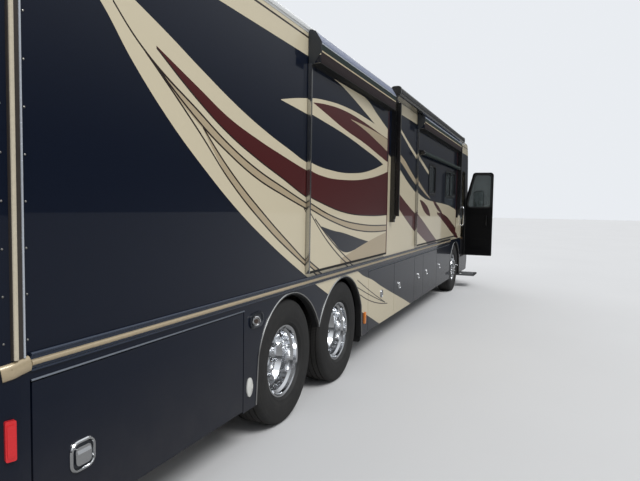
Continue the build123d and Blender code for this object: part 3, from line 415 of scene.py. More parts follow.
black_frame = finish("black_frame_paint", (0.018, 0.018, 0.019), 0.55, grain=25, vary=0.35)
dull_iron = finish("dull_iron", (0.09, 0.088, 0.085), 0.7, metal=0.6, grain=60, bump=0.2)
roof_skin = finish("roof_skin", (0.60, 0.61, 0.60), 0.42, grain=8, vary=0.06, coat=0.2)
floor_board = finish("floor_board", (0.30, 0.20, 0.12), 0.35, grain=6, vary=0.3,
                     stretch=(1, 9, 1))
dark_carpet = finish("dark_carpet", (0.035, 0.035, 0.038), 0.95, grain=400, vary=0.5, bump=0.6)
black_plastic = finish("black_plastic", (0.014, 0.014, 0.015), 0.45, grain=300, bump=0.15)
satin_black = finish("satin_black", (0.010, 0.010, 0.011), 0.25, grain=30, coat=0.6)
bright_metal = finish("bright_metal", (0.80, 0.81, 0.82), 0.10, metal=1.0, grain=14, vary=0.03,
                      bump=0.01)
black_rubber = finish("black_rubber", (0.012, 0.012, 0.012), 0.75, grain=200, bump=0.2)
step_grey = finish("step_grey", (0.14, 0.145, 0.15), 0.5, grain=120, vary=0.2)
soft_leather = finish("soft_leather", (0.36, 0.29, 0.21), 0.5, grain=160, vary=0.12, bump=0.4)


def glass_finish(name, colour, through, rough=0.02):
    """Tinted glass: thin, dark and clear enough to see the room behind it."""
    made, tree, shader = blank_finish(name)
    tint = ramp(tree, speckle(tree, own_place(tree), 1.2), 0.0, 1.0, 0.9, 1.0)
    fill(tree, shader, {"Base Color": lay(tree, rgb(0, 0, 0), tint, colour), "Roughness": rough,
                        "Transmission Weight": through, "IOR": 1.45})
    return made


tinted_glass = glass_finish("tinted_glass", rgb(0.10, 0.12, 0.13), 0.75)
clear_glass = glass_finish("clear_glass", rgb(0.75, 0.84, 0.83), 0.95)
dress(black_frame, "chassis_frame", "front_axle", "rear_axles")
dress(dull_iron, "engine_block", "knuckle_right", "knuckle_left")
dress(dark_carpet, "basement", "step_well")
dress(floor_board, "floor")
dress(roof_skin, "roof", "roof_equipment")
dress(tinted_glass, "side_glass", "slide_front_right_glass", "slide_left_glass")
dress(clear_glass, "windshield", "entry_door_glass")
dress(black_plastic, "dashboard")
dress(soft_leather, "cab_seats")
dress(satin_black, "awnings", "mirrors")
dress(bright_metal, "grab_handle")
dress(step_grey, "entry_step")


# The wheels are forged aluminium, polished bright outside, with cast brake drums behind them.
# The finish reads each wheel's own centre, so the drum stays dull inside the bright rim.
AXLES = {"front": 4.40, "drive": -2.71, "tag": -3.98}
AXLE_Z = 0.52
TRACK = 1.115
DRUM_RADIUS = 0.2075
DRUM_FACE_Y = TRACK - 0.176


def wheel_finish(name, axle_x):
    """Turned and polished metal, dull where the drum shows inside the rim."""
    made, tree, shader = blank_finish(name)
    centred = put(tree, "ShaderNodeMapping", {"Vector": own_place(tree),
                                              "Location": (-axle_x, 0, -AXLE_Z)}).outputs[0]
    x, y, z = split(tree, centred)
    reach = put(tree, "ShaderNodeVectorMath", {0: joined(tree, X=x, Z=z)},
                operation="LENGTH").outputs["Value"]
    drum = calc(tree, "MULTIPLY", calc(tree, "LESS_THAN", reach, DRUM_RADIUS),
                calc(tree, "LESS_THAN", calc(tree, "ABSOLUTE", y), DRUM_FACE_Y))
    turned = speckle(tree, joined(tree, X=reach, Y=y), 260.0)
    noise = speckle(tree, centred, 9.0, 6.0)
    bright = lay(tree, rgb(0.80, 0.81, 0.83), noise, rgb(0.88, 0.89, 0.90))
    rough = calc(tree, "MULTIPLY_ADD", noise, 0.10, 0.06)
    fill(tree, shader, {"Base Color": lay(tree, bright, drum, rgb(0.10, 0.09, 0.085)),
                        "Roughness": calc(tree, "MAXIMUM", rough, calc(tree, "MULTIPLY", drum, 0.7)),
                        "Normal": embossed(tree, turned, 0.04, 0.001), "Metallic": 1.0})
    return made


for axle, axle_x in AXLES.items():
    rim_metal = wheel_finish(f"{axle}_rim_metal", axle_x)
    dress(rim_metal, f"wheel_{axle}_right", f"wheel_{axle}_left")
dress(black_rubber, *(f"tyre_{axle}_{end}" for axle in AXLES for end in ("right", "left")))


# The belt moulding is an extruded aluminium rail screwed along each side at floor height, painted
# dark with a tan half-round bead set in it. A thin drip rail runs below it over the baggage doors.
def begin():
    """An empty shape to work on."""
    return bmesh.new()


def fit_on(name, shape, look, body="coach", crease=35):
    """Turn a worked shape into a finished piece that rides on a body."""
    bmesh.ops.recalc_face_normals(shape, faces=shape.faces)
    mesh = bpy.data.meshes.new(name)
    shape.to_mesh(mesh)
    shape.free()
    mesh.materials.append(look)
    mesh.shade_smooth()
    mesh.set_sharp_from_angle(angle=math.radians(crease))
    piece = stand(name, mesh)
    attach(piece, body)
    return piece


def sweep(shape, path, outs, outline, closed=False):
    """Carry an outline of (across, outward) points along a path of points."""
    path = [Vector(spot) for spot in path]
    count = len(path)
    outs = [Vector(outs)] * count if isinstance(outs[0], (int, float)) else outs
    rings = []
    for n, (spot, out) in enumerate(zip(path, outs)):
        ways = []
        if closed or n:
            ways.append((spot - path[n - 1]).normalized())
        if closed or n < count - 1:
            ways.append((path[(n + 1) % count] - spot).normalized())
        way = sum(ways, Vector()).normalized()
        across = way.cross(out).normalized()
        mitre = 1 / max(0.6, way.dot(ways[0]))
        rings.append([shape.verts.new(spot + across * a * mitre + out * b) for a, b in outline])
    pairs = list(zip(rings, rings[1:]))
    if closed:
        pairs.append((rings[-1], rings[0]))
    else:
        shape.faces.new(rings[0])
        shape.faces.new(rings[-1])
    for first, second in pairs:
        for n in range(len(outline)):
            shape.faces.new((first[n - 1], first[n], second[n], second[n - 1]))


def half_round(width, height, steps=6):
    """Section of a half-round bead standing on its flat."""
    return [(-width / 2 * math.cos(math.pi * n / steps), height * math.sin(math.pi * n / steps))
            for n in range(steps + 1)]


def along_side(side, x_rear, x_front, z):
    """A straight path along one side, run so that across points down."""
    ends = [(x_rear, side * SIDE_Y, z), (x_front, side * SIDE_Y, z)]
    return ends if side < 0 else ends[::-1]


SIDE_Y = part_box("wall_left")[1][1]
BELT_Z = 1.141
BELT_ENDS = (-6.47, 3.72)
DRIP_Z = 1.066
DRIP_ENDS = (-1.85, 3.71)
# The right side has a second stretch, over its rear door
REAR_DRIP_ENDS = (-6.465, -4.72)
# Section of the rail: down from the bead's middle, out from the wall
RAIL_SECTION = [(-0.044, -0.002), (-0.044, 0.010), (-0.038, 0.014), (-0.030, 0.012), (-0.026, 0.005),
                (0.024, 0.005), (0.027, 0.011), (0.035, 0.011), (0.037, -0.002)]
rail_paint = finish("rail_paint", (0.035, 0.05, 0.085), 0.22, metal=0.5, grain=30, coat=0.8)
# The bead is tan, lifted a little past the livery's tan by a painted sheen.
bead_tan_painted_sheen = finish("bead_tan_painted_sheen", (0.52, 0.42, 0.27), 0.3, metal=0.25, grain=40, coat=0.6)
drip_alloy = finish("drip_alloy", (0.32, 0.35, 0.40), 0.3, metal=0.9, grain=50)
rail, bead, drip = begin(), begin(), begin()
for side in (-1, 1):
    out = (0, side, 0)
    sweep(rail, along_side(side, *BELT_ENDS, BELT_Z), out, RAIL_SECTION)
    sweep(bead, along_side(side, *BELT_ENDS, BELT_Z), out,
          [(a, b + 0.004) for a, b in half_round(0.027, 0.015)])
    for stretch in (DRIP_ENDS, REAR_DRIP_ENDS) if side < 0 else (DRIP_ENDS,):
        sweep(drip, along_side(side, *stretch, DRIP_Z), out,
              [(-0.004, -0.001), (-0.004, 0.003), (0.002, 0.006), (0.005, 0.004), (0.003, -0.001)])
fit_on("belt_rail", rail, rail_paint)
fit_on("belt_bead", bead, bead_tan_painted_sheen)
fit_on("drip_rail", drip, drip_alloy)


# The rear cap is joined to the sides and roof under a hoop of dark cover strip with a pale line and
# a cream bead, held by small screws. It runs from the belt up one side, over the roof and down again.
def skin_of(*nodes):
    """The outer surface of some CAD nodes, to lay pieces on."""
    corners, faces = [], []
    for node in nodes:
        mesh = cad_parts[node].data
        start = len(corners)
        corners += [corner.co.copy() for corner in mesh.vertices]
        faces += [[start + n for n in face.vertices] for face in mesh.polygons]
    return BVHTree.FromPolygons(corners, faces)


HOOP_X = -6.522
HOOP_FOOT, HOOP_EAVE, HOOP_RISE = 1.17, 3.20, 0.33
LEG_STEPS, BOW_STEPS = 12, 36
hull = skin_of("rear_cap", "wall_right", "wall_left", "roof", "skirt_right", "skirt_left")
hoop_path, hoop_outs = [], []
for n in range(2 * LEG_STEPS + BOW_STEPS + 1):
    climbed = min(n, 2 * LEG_STEPS + BOW_STEPS - n)
    if climbed < LEG_STEPS:
        side = -1 if n == climbed else 1
        z = HOOP_FOOT + (HOOP_EAVE - HOOP_FOOT) * climbed / LEG_STEPS
        spot, normal = hull.ray_cast(Vector((HOOP_X, side * 3, z)), Vector((0, -side, 0)))[:2]
    else:
        turn = math.pi * (n - LEG_STEPS) / BOW_STEPS
        reach = Vector((0, -math.cos(turn) * SIDE_Y, math.sin(turn) * HOOP_RISE))
        far_out = Vector((HOOP_X, 0, HOOP_EAVE)) + reach * 2
        spot, normal = hull.ray_cast(far_out, -reach.normalized())[:2]
    if spot is not None:
        normal.x = 0
        hoop_path.append(spot)
        hoop_outs.append(normal.normalized())
hoop, hoop_line, hoop_bead = begin(), begin(), begin()
sweep(hoop, hoop_path, hoop_outs, [(-0.030, -0.01), (-0.030, 0.007), (-0.026, 0.010),
                                   (0.026, 0.010), (0.030, 0.007), (0.030, -0.01)])
sweep(hoop_line, hoop_path, hoop_outs, [(0.016, 0.009), (0.016, 0.014), (0.024, 0.014), (0.024, 0.009)])
sweep(hoop_bead, hoop_path, hoop_outs, [(-0.027, 0.009), (-0.026, 0.015), (-0.018, 0.018),
                                        (-0.010, 0.016), (-0.006, 0.009)])
cover_dark = finish("cover_dark", (0.055, 0.045, 0.038), 0.35, metal=0.3, grain=40, coat=0.4)
cover_cream = finish("cover_cream", (0.60, 0.53, 0.40), 0.3, grain=60, coat=0.6)
cover_white = finish("cover_white", (0.62, 0.66, 0.72), 0.25, metal=0.4, grain=60)
fit_on("corner_strip", hoop, cover_dark)
fit_on("corner_strip_line", hoop_line, cover_white)
fit_on("corner_strip_bead", hoop_bead, cover_cream)
boots = begin()
for side in (-1, 1):
    path = [(x, side * (SIDE_Y - inset), BELT_Z - drop) for x, inset, drop in
            ((-6.475, 0, 0), (-6.515, 0, 0.006), (-6.550, 0.007, 0.016), (-6.585, 0.022, 0.022))]
    outs = [Vector((0, side, 0)), Vector((-0.08, side, 0)), Vector((-0.3, side, 0)).normalized(),
            Vector((-0.55, side, 0)).normalized()]
    ends = (path, outs) if side > 0 else (path[::-1], outs[::-1])
    sweep(boots, *ends, [(a, b + 0.002) for a, b in half_round(0.068, 0.017, 8)])
# The belt's end boots share the bead's tan and its painted sheen.
fit_on("belt_end", boots, bead_tan_painted_sheen)


def named_tree(name, inputs):
    """A geometry tree with named size inputs; returns it with its two ends."""
    group = bpy.data.node_groups.new(name, "GeometryNodeTree")
    group.interface.new_socket("Geometry", in_out="INPUT", socket_type="NodeSocketGeometry")
    for label, kind, value in inputs:
        socket = group.interface.new_socket(label, in_out="INPUT", socket_type=f"NodeSocket{kind}")
        socket.default_value = value
    group.interface.new_socket("Geometry", in_out="OUTPUT", socket_type="NodeSocketGeometry")
    return group, group.nodes.new("NodeGroupInput"), group.nodes.new("NodeGroupOutput")


def close_tree(group, end, points, instance, look, turn=(0, 0, 0)):
    """Set an instance on each point, realize them and give them their material."""
    placed = put(group, "GeometryNodeInstanceOnPoints", {"Points": points, "Instance": instance,
                                                         "Rotation": turn})
    whole = put(group, "GeometryNodeRealizeInstances", {"Geometry": placed.outputs[0]})
    done = put(group, "GeometryNodeSetMaterial", {"Geometry": whole.outputs[0], "Material": look})
    group.links.new(done.outputs[0], end.inputs[0])


def grow(name, group, sizes, body="coach", place=Matrix(), path=()):
    """Run a geometry tree once and keep what it makes as a plain mesh on a body."""
    seed = bpy.data.meshes.new(name + "_seed")
    seed.from_pydata(path, [(n, n + 1) for n in range(len(path) - 1)], [])
    carrier = stand(name + "_seed", seed)
    work = carrier.modifiers.new("work", "NODES")
    work.node_group = group
    for item in group.interface.items_tree:
        if item.in_out == "INPUT" and item.name in sizes:
            work[item.identifier] = sizes[item.name]
    graph = bpy.context.evaluated_depsgraph_get()
    mesh = bpy.data.meshes.new_from_object(carrier.evaluated_get(graph))
    bpy.data.objects.remove(carrier)
    mesh.transform(place)
    mesh.name = name
    piece = stand(name, mesh)
    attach(piece, body)
    return piece


screw_steel = finish("screw_steel", (0.42, 0.41, 0.38), 0.35, metal=1.0, grain=200)
screw_row, start, end = named_tree("screw_row", [("Spacing", "Float", 0.19), ("Head", "Float", 0.005)])
line = put(screw_row, "GeometryNodeMeshToCurve", {"Mesh": start.outputs["Geometry"]})
line = put(screw_row, "GeometryNodeResampleCurve", {"Curve": line.outputs[0],
                                                    "Length": start.outputs["Spacing"]}, mode="LENGTH")
head = put(screw_row, "GeometryNodeMeshUVSphere", {"Segments": 10, "Rings": 6,
                                                   "Radius": start.outputs["Head"]})
close_tree(screw_row, end, line.outputs[0], head.outputs["Mesh"], screw_steel)
for side, name in ((-1, "right"), (1, "left")):
    for n, (x, inset) in enumerate(((-6.575, 0.016), (-6.478, 0.0)), start=1):
        y = side * (SIDE_Y - inset)
        grow(f"cap_screws_{name}_{n}", screw_row, {"Spacing": 0.185},
             path=[(x, y, 1.24), (x, y, 3.14)])

# Each wheel arch is edged with a bright pressed lip on its bare metal; black rubber flaps hang
# ahead of the drive wheels from the front edge of their arches.
ARCH_TOP, ARCH_MOUTH, ARCH_FOOT = 1.085, 0.690, 0.335
# Arch: axle x, half width behind it, half width ahead, whether each leg runs down to the skirt's edge
ARCHES = [(AXLES["tag"], 0.525, 0.635, True, False), (AXLES["drive"], 0.635, 0.600, False, True),
          (AXLES["front"], 0.600, 0.600, True, True)]


def arch_leg(axle_x, half, sense, leg, steps=12):
    """Points from an arch's top down one side."""
    drop = ARCH_TOP - ARCH_MOUTH
    radius = (half ** 2 + drop ** 2) / (2 * drop)
    sweep_angle = math.asin(half / radius)
    if drop > radius:
        sweep_angle = math.pi - sweep_angle
    points = []
    for n in range(steps + 1):
        angle = sweep_angle * n / steps
        points.append((axle_x + sense * radius * math.sin(angle),
                       ARCH_TOP - radius * (1 - math.cos(angle))))
    if leg:
        points.append((axle_x + sense * (half + 0.030), ARCH_FOOT))
    return points


lip_steel = finish("lip_steel", (0.55, 0.55, 0.54), 0.22, metal=1.0, grain=40, vary=0.08)
lips, welts = begin(), begin()
for side in (-1, 1):
    for axle_x, rear, front, rear_leg, front_leg in ARCHES:
        line = arch_leg(axle_x, rear, -1, rear_leg)[::-1] + arch_leg(axle_x, front, 1, front_leg)[1:]
        path = [(x, side * SIDE_Y, z) for x, z in line]
        path = path if side < 0 else path[::-1]
        sweep(lips, path, (0, side, 0), [(0.001, -0.03), (0.001, 0.004), (-0.002, 0.008), (-0.009, 0.008),
                                         (-0.013, 0.004), (-0.013, -0.001)])
        sweep(welts, path, (0, side, 0), [(0.001, -0.06), (0.001, -0.003), (0.014, -0.006),
                                          (0.014, -0.06)])
fit_on("arch_lips", lips, lip_steel)
fit_on("arch_welts", welts, black_rubber)


def rounded(width, height, radius, steps=5):
    """Outline of a rectangle with round corners about its middle."""
    points = []
    for corner, (sx, sy) in enumerate(((1, 1), (-1, 1), (-1, -1), (1, -1))):
        for n in range(steps + 1):
            angle = math.pi / 2 * (corner + n / steps)
            points.append((sx * (width / 2 - radius) + radius * math.cos(angle),
                           sy * (height / 2 - radius) + radius * math.sin(angle)))
    return points


def plate(shape, spots, thick):
    """A flat plate: an outline of places and the way and depth of its thickness."""
    spots = [Vector(spot) for spot in spots]
    near = [shape.verts.new(spot) for spot in spots]
    far = [shape.verts.new(spot + Vector(thick)) for spot in spots]
    shape.faces.new(near)
    shape.faces.new(far)
    for n in range(len(spots)):
        m = (n + 1) % len(spots)
        shape.faces.new((near[n], near[m], far[m], far[n]))


def slab(shape, middle, outline, thick):
    """A plate square to one axis: its outline is laid round the middle along the other two."""
    one, two = (axis for axis in range(3) if not thick[axis])
    spots = [Vector(middle) for _ in outline]
    for spot, (across, up) in zip(spots, outline):
        spot[one] += across
        spot[two] += up
    plate(shape, spots, thick)


flaps = begin()
for side in (-1, 1):
    slab(flaps, (-2.083, side * 0.99, 0.445), rounded(0.56, 0.36, 0.03), (0.008, 0, 0))
fit_on("mud_flaps", flaps, black_rubber)


# The baggage doors close with flush paddle latches: a chrome frame with round corners round a
# dark dish, and a polished paddle hinged along its top edge.
def frame_ring(shape, middle, side, width, height, radius, outline, steps=5):
    """Sweep an outline of (inward, outward) points round a rounded rectangle on a side wall."""
    x0, y0, z0 = middle
    path = [(x0 + x, y0, z0 + z) for x, z in rounded(width, height, radius, steps)]
    sweep(shape, path if side > 0 else path[::-1], (0, side, 0), outline, closed=True)


# Latch: door body, middle x, middle z, side, size
LATCHES = [("bay_right_1", -6.195, 0.640, -1, 0.130)]
LATCHES += [(f"bay_right_{n}", x, 0.72, -1, 0.085)
            for n, x in enumerate((-1.30, -0.42, 0.80, 1.42, 2.58), start=2)]
LATCHES += [(f"bay_left_{n}", x, 0.72, 1, 0.085) for n, x in enumerate((-1.30, -0.42, 0.80, 2.38), start=1)]
dish_dark = finish("dish_dark", (0.03, 0.035, 0.045), 0.3, metal=0.4, grain=80, coat=0.5)
for body, x, z, side, size in LATCHES:
    frames, dish, paddle = begin(), begin(), begin()
    middle = (x, side * SIDE_Y, z)
    rim = size * 0.085
    frame_ring(frames, middle, side, size, size * 0.98, size * 0.29,
               [(-rim, -0.002), (-rim, 0.006), (-rim * 0.6, 0.012), (rim * 0.1, 0.013),
                (rim * 0.5, 0.006), (rim * 0.5, -0.002)])
    slab(dish, (x, side * (SIDE_Y - 0.001), z), rounded(size * 0.88, size * 0.86, size * 0.24),
         (0, side * 0.0035, 0))
    tilted = [(x + a, side * (SIDE_Y + 0.004 + (size * 0.40 - b) * 0.05), z + b)
              for a, b in rounded(size * 0.72, size * 0.66, size * 0.16)]
    plate(paddle, tilted, (0, side * 0.006, 0))
    lip = [(x + size * across, side * (SIDE_Y + size * out), z + size * up) for across, out, up in
           ((-0.31, 0.15, 0.11), (0.31, 0.15, 0.11), (0.29, 0.05, 0.29), (-0.29, 0.05, 0.29))]
    plate(paddle, lip, (0, -side * 0.004, 0))
    fit_on(f"{body}_latch_frame", frames, bright_metal, body)
    fit_on(f"{body}_latch_dish", dish, dish_dark, body)
    fit_on(f"{body}_latch_paddle", paddle, bright_metal, body)


# A chromed docking lamp in a dark oval cup and a white oval lamp sit ahead of the rear baggage
# door. Marker lenses stand on the skirt: amber ahead of the drive wheels, red on the rear corners.
def lathe(shape, centre, profile, steps=40, along=(0, 1, 0)):
    """Turn a profile of (distance along, radius) about a line through the centre."""
    centre, along = Vector(centre), Vector(along).normalized()
    one = along.orthogonal().normalized()
    two = along.cross(one)
    rings = []
    for reach, radius in profile:
        middle = centre + along * reach
        if radius < 1e-6:
            rings.append([shape.verts.new(middle)])
            continue
        rings.append([shape.verts.new(middle + radius * (math.cos(a) * one + math.sin(a) * two))
                      for a in (2 * math.pi * n / steps for n in range(steps))])
    pairs = list(zip(rings, rings[1:]))
    if len(rings[0]) > 1 and len(rings[-1]) > 1:
        pairs.append((rings[-1], rings[0]))
    for first, second in pairs:
        for n in range(steps):
            if len(first) == 1:
                shape.faces.new((first[0], second[n], second[n - 1]))
            elif len(second) == 1:
                shape.faces.new((first[n - 1], first[n], second[0]))
            else:
                shape.faces.new((first[n - 1], first[n], second[n], second[n - 1]))


docking, docking_eye, cup, white_lens, amber_lens = begin(), begin(), begin(), begin(), begin()
CUP = Vector((-4.545, -SIDE_Y, 0.972))
frame_ring(cup, CUP, -1, 0.190, 0.105, 0.050,
           [(-0.004, -0.004), (-0.004, 0.010), (0.006, 0.013), (0.014, 0.006), (0.014, -0.004)], 8)
slab(cup, CUP + Vector((0, 0.001, 0)), rounded(0.17, 0.086, 0.042, 8), (0, -0.004, 0))
LAMP_BASE = CUP + Vector((-0.026, 0.004, 0))
LAMP_AIM = (-0.55, -0.83, 0.02)
lathe(docking, LAMP_BASE,
      [(0.0, 0.0), (0.0, 0.030), (0.030, 0.036), (0.040, 0.037), (0.046, 0.033), (0.044, 0.026),
       (0.036, 0.022), (0.036, 0.0)], 36, LAMP_AIM)
lathe(docking_eye, LAMP_BASE,
      [(0.030, 0.0), (0.030, 0.0195), (0.0375, 0.0185), (0.0405, 0.010), (0.0412, 0.0)], 28, LAMP_AIM)
WHITE_X, WHITE_Z = -4.640, 0.497
TALLER = 1.75
AMBER_X = -1.975
for side in (-1, 1):
    lathe(white_lens, (WHITE_X, side * SIDE_Y, WHITE_Z),
          [(-0.002, 0.0), (-0.002, 0.040), (0.008, 0.040), (0.013, 0.034), (0.015, 0.0)], 36,
          (0, side, 0))
    slab(amber_lens, (AMBER_X, side * (SIDE_Y - 0.002), 0.53), rounded(0.055, 0.135, 0.012),
         (0, side * 0.016, 0))
    lathe(amber_lens, (AMBER_X, side * (SIDE_Y + 0.010), 0.555),
          [(0, 0), (0, 0.020), (0.008, 0.018), (0.011, 0.0)], 24, (0, side, 0))
for corner in white_lens.verts:
    corner.co.z = WHITE_Z + (corner.co.z - WHITE_Z) * TALLER
lens_white = finish("lens_white", (0.72, 0.72, 0.68), 0.25, grain=300, bump=0.2, coat=0.8)
lens_amber = finish("lens_amber", (0.80, 0.24, 0.03), 0.25, grain=300, bump=0.3, coat=0.8)
lens_red = finish("lens_red", (0.72, 0.02, 0.025), 0.25, grain=300, bump=0.3, coat=0.8)
lens_smoked = finish("lens_smoked", (0.055, 0.038, 0.030), 0.15, grain=200, coat=0.8)
fit_on("docking_lamp_cup", cup, dish_dark)
fit_on("docking_lamp", docking, bright_metal)
fit_on("docking_lamp_eye", docking_eye, lens_smoked)
fit_on("side_lamps", white_lens, lens_white)
fit_on("amber_markers", amber_lens, lens_amber)
# The rear corners' radius, and how far round it the red markers sit
CORNER_RADIUS = 0.140
MARKER_TURN = math.radians(21)
red = begin()
for side in (-1, 1):
    out = Vector((-math.sin(MARKER_TURN), side * math.cos(MARKER_TURN), 0))
    flat = Vector((math.cos(MARKER_TURN), side * math.sin(MARKER_TURN), 0))
    spot = Vector((-6.510, side * (SIDE_Y - CORNER_RADIUS), 0.844)) + out * CORNER_RADIUS
    for sunk, outline, deep in ((0.004, rounded(0.042, 0.168, 0.008), 0.020),
                                (0.0, rounded(0.030, 0.134, 0.008), 0.021)):
        plate(red, [spot - out * sunk + flat * a + Vector((0, 0, b)) for a, b in outline], out * deep)
fit_on("red_markers", red, lens_red)

# Each slide-out's fascia is edged with extruded aluminium: bright at its rear, dark red at its
# front, with a black wiper seal all round behind it. A canvas topper rolls in a housing above.
# Slide-out: node, body, side, height of its cover's top over the housing's foot
SLIDE_OUTS = [("slide_rear_right", "slide_1", -1, 0.272), ("slide_front_right", "slide_2", -1, 0.205),
              ("slide_left", "slide_3", 1, 0.272)]
FASCIA_Y, FASCIA_LOW, FASCIA_HIGH = 1.3185, 1.225, 3.024
HOUSING_Y, HOUSING_FOOT = 1.2885, 3.025
flange_red = finish("flange_red", (0.075, 0.018, 0.020), 0.3, grain=50, coat=0.5)
# The topper cover's alloy is tinted blue: its own alloy grey with a painted reflection of the sky.
cover_alloy_painted_sky = finish("cover_alloy_painted_sky", (0.20, 0.23, 0.33), 0.45, metal=0.3, grain=22, vary=0.12)
end_slate = finish("end_slate", (0.030, 0.034, 0.040), 0.5, grain=60, vary=0.25)
# The roll's dark green is a painted reflection of trees on the canvas.
canvas_painted_tree_reflection = finish("canvas_painted_tree_reflection", (0.014, 0.026, 0.022), 0.85, grain=500, vary=0.3, bump=0.5)
canvas_cream = finish("canvas_cream", (0.50, 0.42, 0.28), 0.75, grain=500, vary=0.12, bump=0.5)
canvas_maroon = finish("canvas_maroon", (0.016, 0.007, 0.008), 0.8, grain=500, vary=0.2, bump=0.5)
EDGE_ANGLE = [(-0.004, -0.031), (-0.004, 0.003), (0.018, 0.003), (0.018, -0.0005),
              (-0.0005, -0.0005), (-0.0005, -0.031)]
for node, body, side, hood in SLIDE_OUTS:
    (x_rear, *_), (x_front, *_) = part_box(node)
    bright, red_edge, seal = begin(), begin(), begin()
    for shape, x, turned in ((bright, x_rear, -side), (red_edge, x_front, side)):
        path = [(x, side * FASCIA_Y, FASCIA_LOW - 0.002), (x, side * FASCIA_Y, FASCIA_HIGH)]
        sweep(shape, path, (0, side, 0), [(a * turned, b) for a, b in EDGE_ANGLE])
    for z, turned in ((FASCIA_LOW, side), (FASCIA_HIGH, -side)):
        path = [(x_rear + 0.02, side * FASCIA_Y, z), (x_front - 0.02, side * FASCIA_Y, z)]
        sweep(seal, path, (0, side, 0), [(a * turned, b) for a, b in EDGE_ANGLE])
    fit_on(f"{node}_rear_edge", bright, lip_steel, body)
    fit_on(f"{node}_front_edge", red_edge, flange_red, body)
    fit_on(f"{node}_seals", seal, black_rubber, body)
    # Topper sections: out from the fascia, height above the housing's foot
    sections = {
        "cover": (cover_alloy_painted_sky, [(-0.004, hood + 0.012), (0.030, hood + 0.010), (0.060, hood - 0.006),
                                (0.112, 0.183), (0.1155, 0.176), (0.1155, 0.170), (0.110, 0.168),
                                (0.060, 0.196), (-0.004, 0.2005)]),
        "lip": (cover_white, [(0.104, 0.168), (0.1165, 0.168), (0.1175, 0.163), (0.1165, 0.158),
                              (0.104, 0.158)]),
        "roll": (canvas_painted_tree_reflection, [(0.100, 0.158), (0.1135, 0.158), (0.1145, 0.130), (0.1130, 0.106),
                                (0.100, 0.106)]),
        "band": (canvas_cream, [(0.100, 0.106), (0.1145, 0.106), (0.1145, 0.094), (0.100, 0.094)]),
        "skirt": (canvas_maroon, [(0.100, 0.094), (0.1125, 0.094), (0.1115, 0.050), (0.1125, 0.006),
                                  (0.110, 0.002), (0.100, 0.006)]),
        "soffit": (black_rubber, [(0.111, 0.003), (0.111, -0.0035), (0.031, -0.0035), (0.031, 0.003)]),
    }
    for part, (look, section) in sections.items():
        shape = begin()
        path = [(x, side * HOUSING_Y, HOUSING_FOOT) for x in (x_rear + 0.01, x_front - 0.01)]
        sweep(shape, path, (0, side, 0), [(z * side, y) for y, z in section])
        fit_on(f"{node}_topper_{part}", shape, look, body)
    ends = begin()
    bracket = [(0.0, -0.006), (0.050, -0.006), (0.1175, 0.090), (0.1175, 0.176), (0.062, hood - 0.004),
               (0.030, hood + 0.012), (-0.004, hood + 0.014)]
    for x in (x_rear - 0.002, x_front - 0.012):
        plate(ends, [(x, side * (HOUSING_Y + y), HOUSING_FOOT + z) for y, z in bracket], (0.014, 0, 0))
    bmesh.ops.bevel(ends, geom=ends.edges[:], offset=0.002, segments=2, affect="EDGES")
    fit_on(f"{node}_topper_ends", ends, end_slate, body)

# Windows are bonded dark glass in black anodised frames with round corners. The sliding ones
# have a post in the middle.
frame_black = finish("frame_black", (0.012, 0.012, 0.013), 0.35, metal=0.5, grain=60, coat=0.3)
# Window: body, side, face of the panel, x range, z range, posts at shares of its width
WINDOWS = [("slide_2", -1, FASCIA_Y, (1.25, 1.80), (2.05, 2.54), ()),
           ("slide_2", -1, FASCIA_Y, (2.80, 3.90), (2.05, 2.54), (0.5,)),
           ("slide_3", 1, FASCIA_Y, (-2.4, -1.3), (1.85, 2.56), (0.5,)),
           ("slide_3", 1, FASCIA_Y, (-0.2, 1.1), (1.85, 2.56), (0.5,)),
           ("slide_3", 1, FASCIA_Y, (2.0, 3.4), (1.85, 2.56), (0.5,)),
           ("coach", 1, SIDE_Y, (-5.6, -4.9), (1.9, 2.6), ()),
           ("coach", 1, SIDE_Y, (4.7, 5.6), (1.72, 2.62), (0.5,))]
CORNER_REACH, GLASS_RADIUS = 0.083, 0.080
for n, (body, side, face, (x0, x1), (z0, z1), posts) in enumerate(WINDOWS, start=1):
    shape = begin()
    middle = ((x0 + x1) / 2, side * face, (z0 + z1) / 2)
    frame_ring(shape, middle, side, x1 - x0 - 0.012, z1 - z0 - 0.012, 0.070,
               [(-0.030, -0.001), (-0.030, 0.006), (-0.026, 0.009), (0.004, 0.009), (0.010, 0.004),
                (0.012, -0.016), (-0.004, -0.016), (-0.004, -0.001)], 6)
    for x, sx in ((x0, 1), (x1, -1)):
        for z, sz in ((z0, 1), (z1, -1)):
            arc = [(sx * (CORNER_REACH - GLASS_RADIUS * math.cos(a)),
                    sz * (CORNER_REACH - GLASS_RADIUS * math.sin(a)))
                   for a in (math.pi / 2 * k / 6 for k in range(7))]
            slab(shape, (x, side * (face - 0.014), z), [(-sx * 0.002, -sz * 0.002)] + arc,
                 (0, side * 0.012, 0))
    for share in posts:
        x = x0 + share * (x1 - x0)
        bar = [(x + across, side * (face - 0.013), z)
               for across, z in ((-0.016, z0), (0.016, z0), (0.016, z1), (-0.016, z1))]
        plate(shape, bar, (0, side * 0.010, 0))
    fit_on(f"window_frame_{n}", shape, frame_black, body)

# The patio awning is an extruded dark case along the roof edge with moulded end caps, and two
# black folding arms down the wall. A window awning's roller hangs under it on the front slide-out.
case_dark = finish("case_dark", (0.030, 0.030, 0.029), 0.35, metal=0.4, grain=30, coat=0.2)
# Pale strips on the awning: painted highlights along the case's face and down each arm's face.
case_painted_highlight = finish("case_painted_highlight", (0.16, 0.155, 0.14), 0.4, metal=0.5, grain=40)
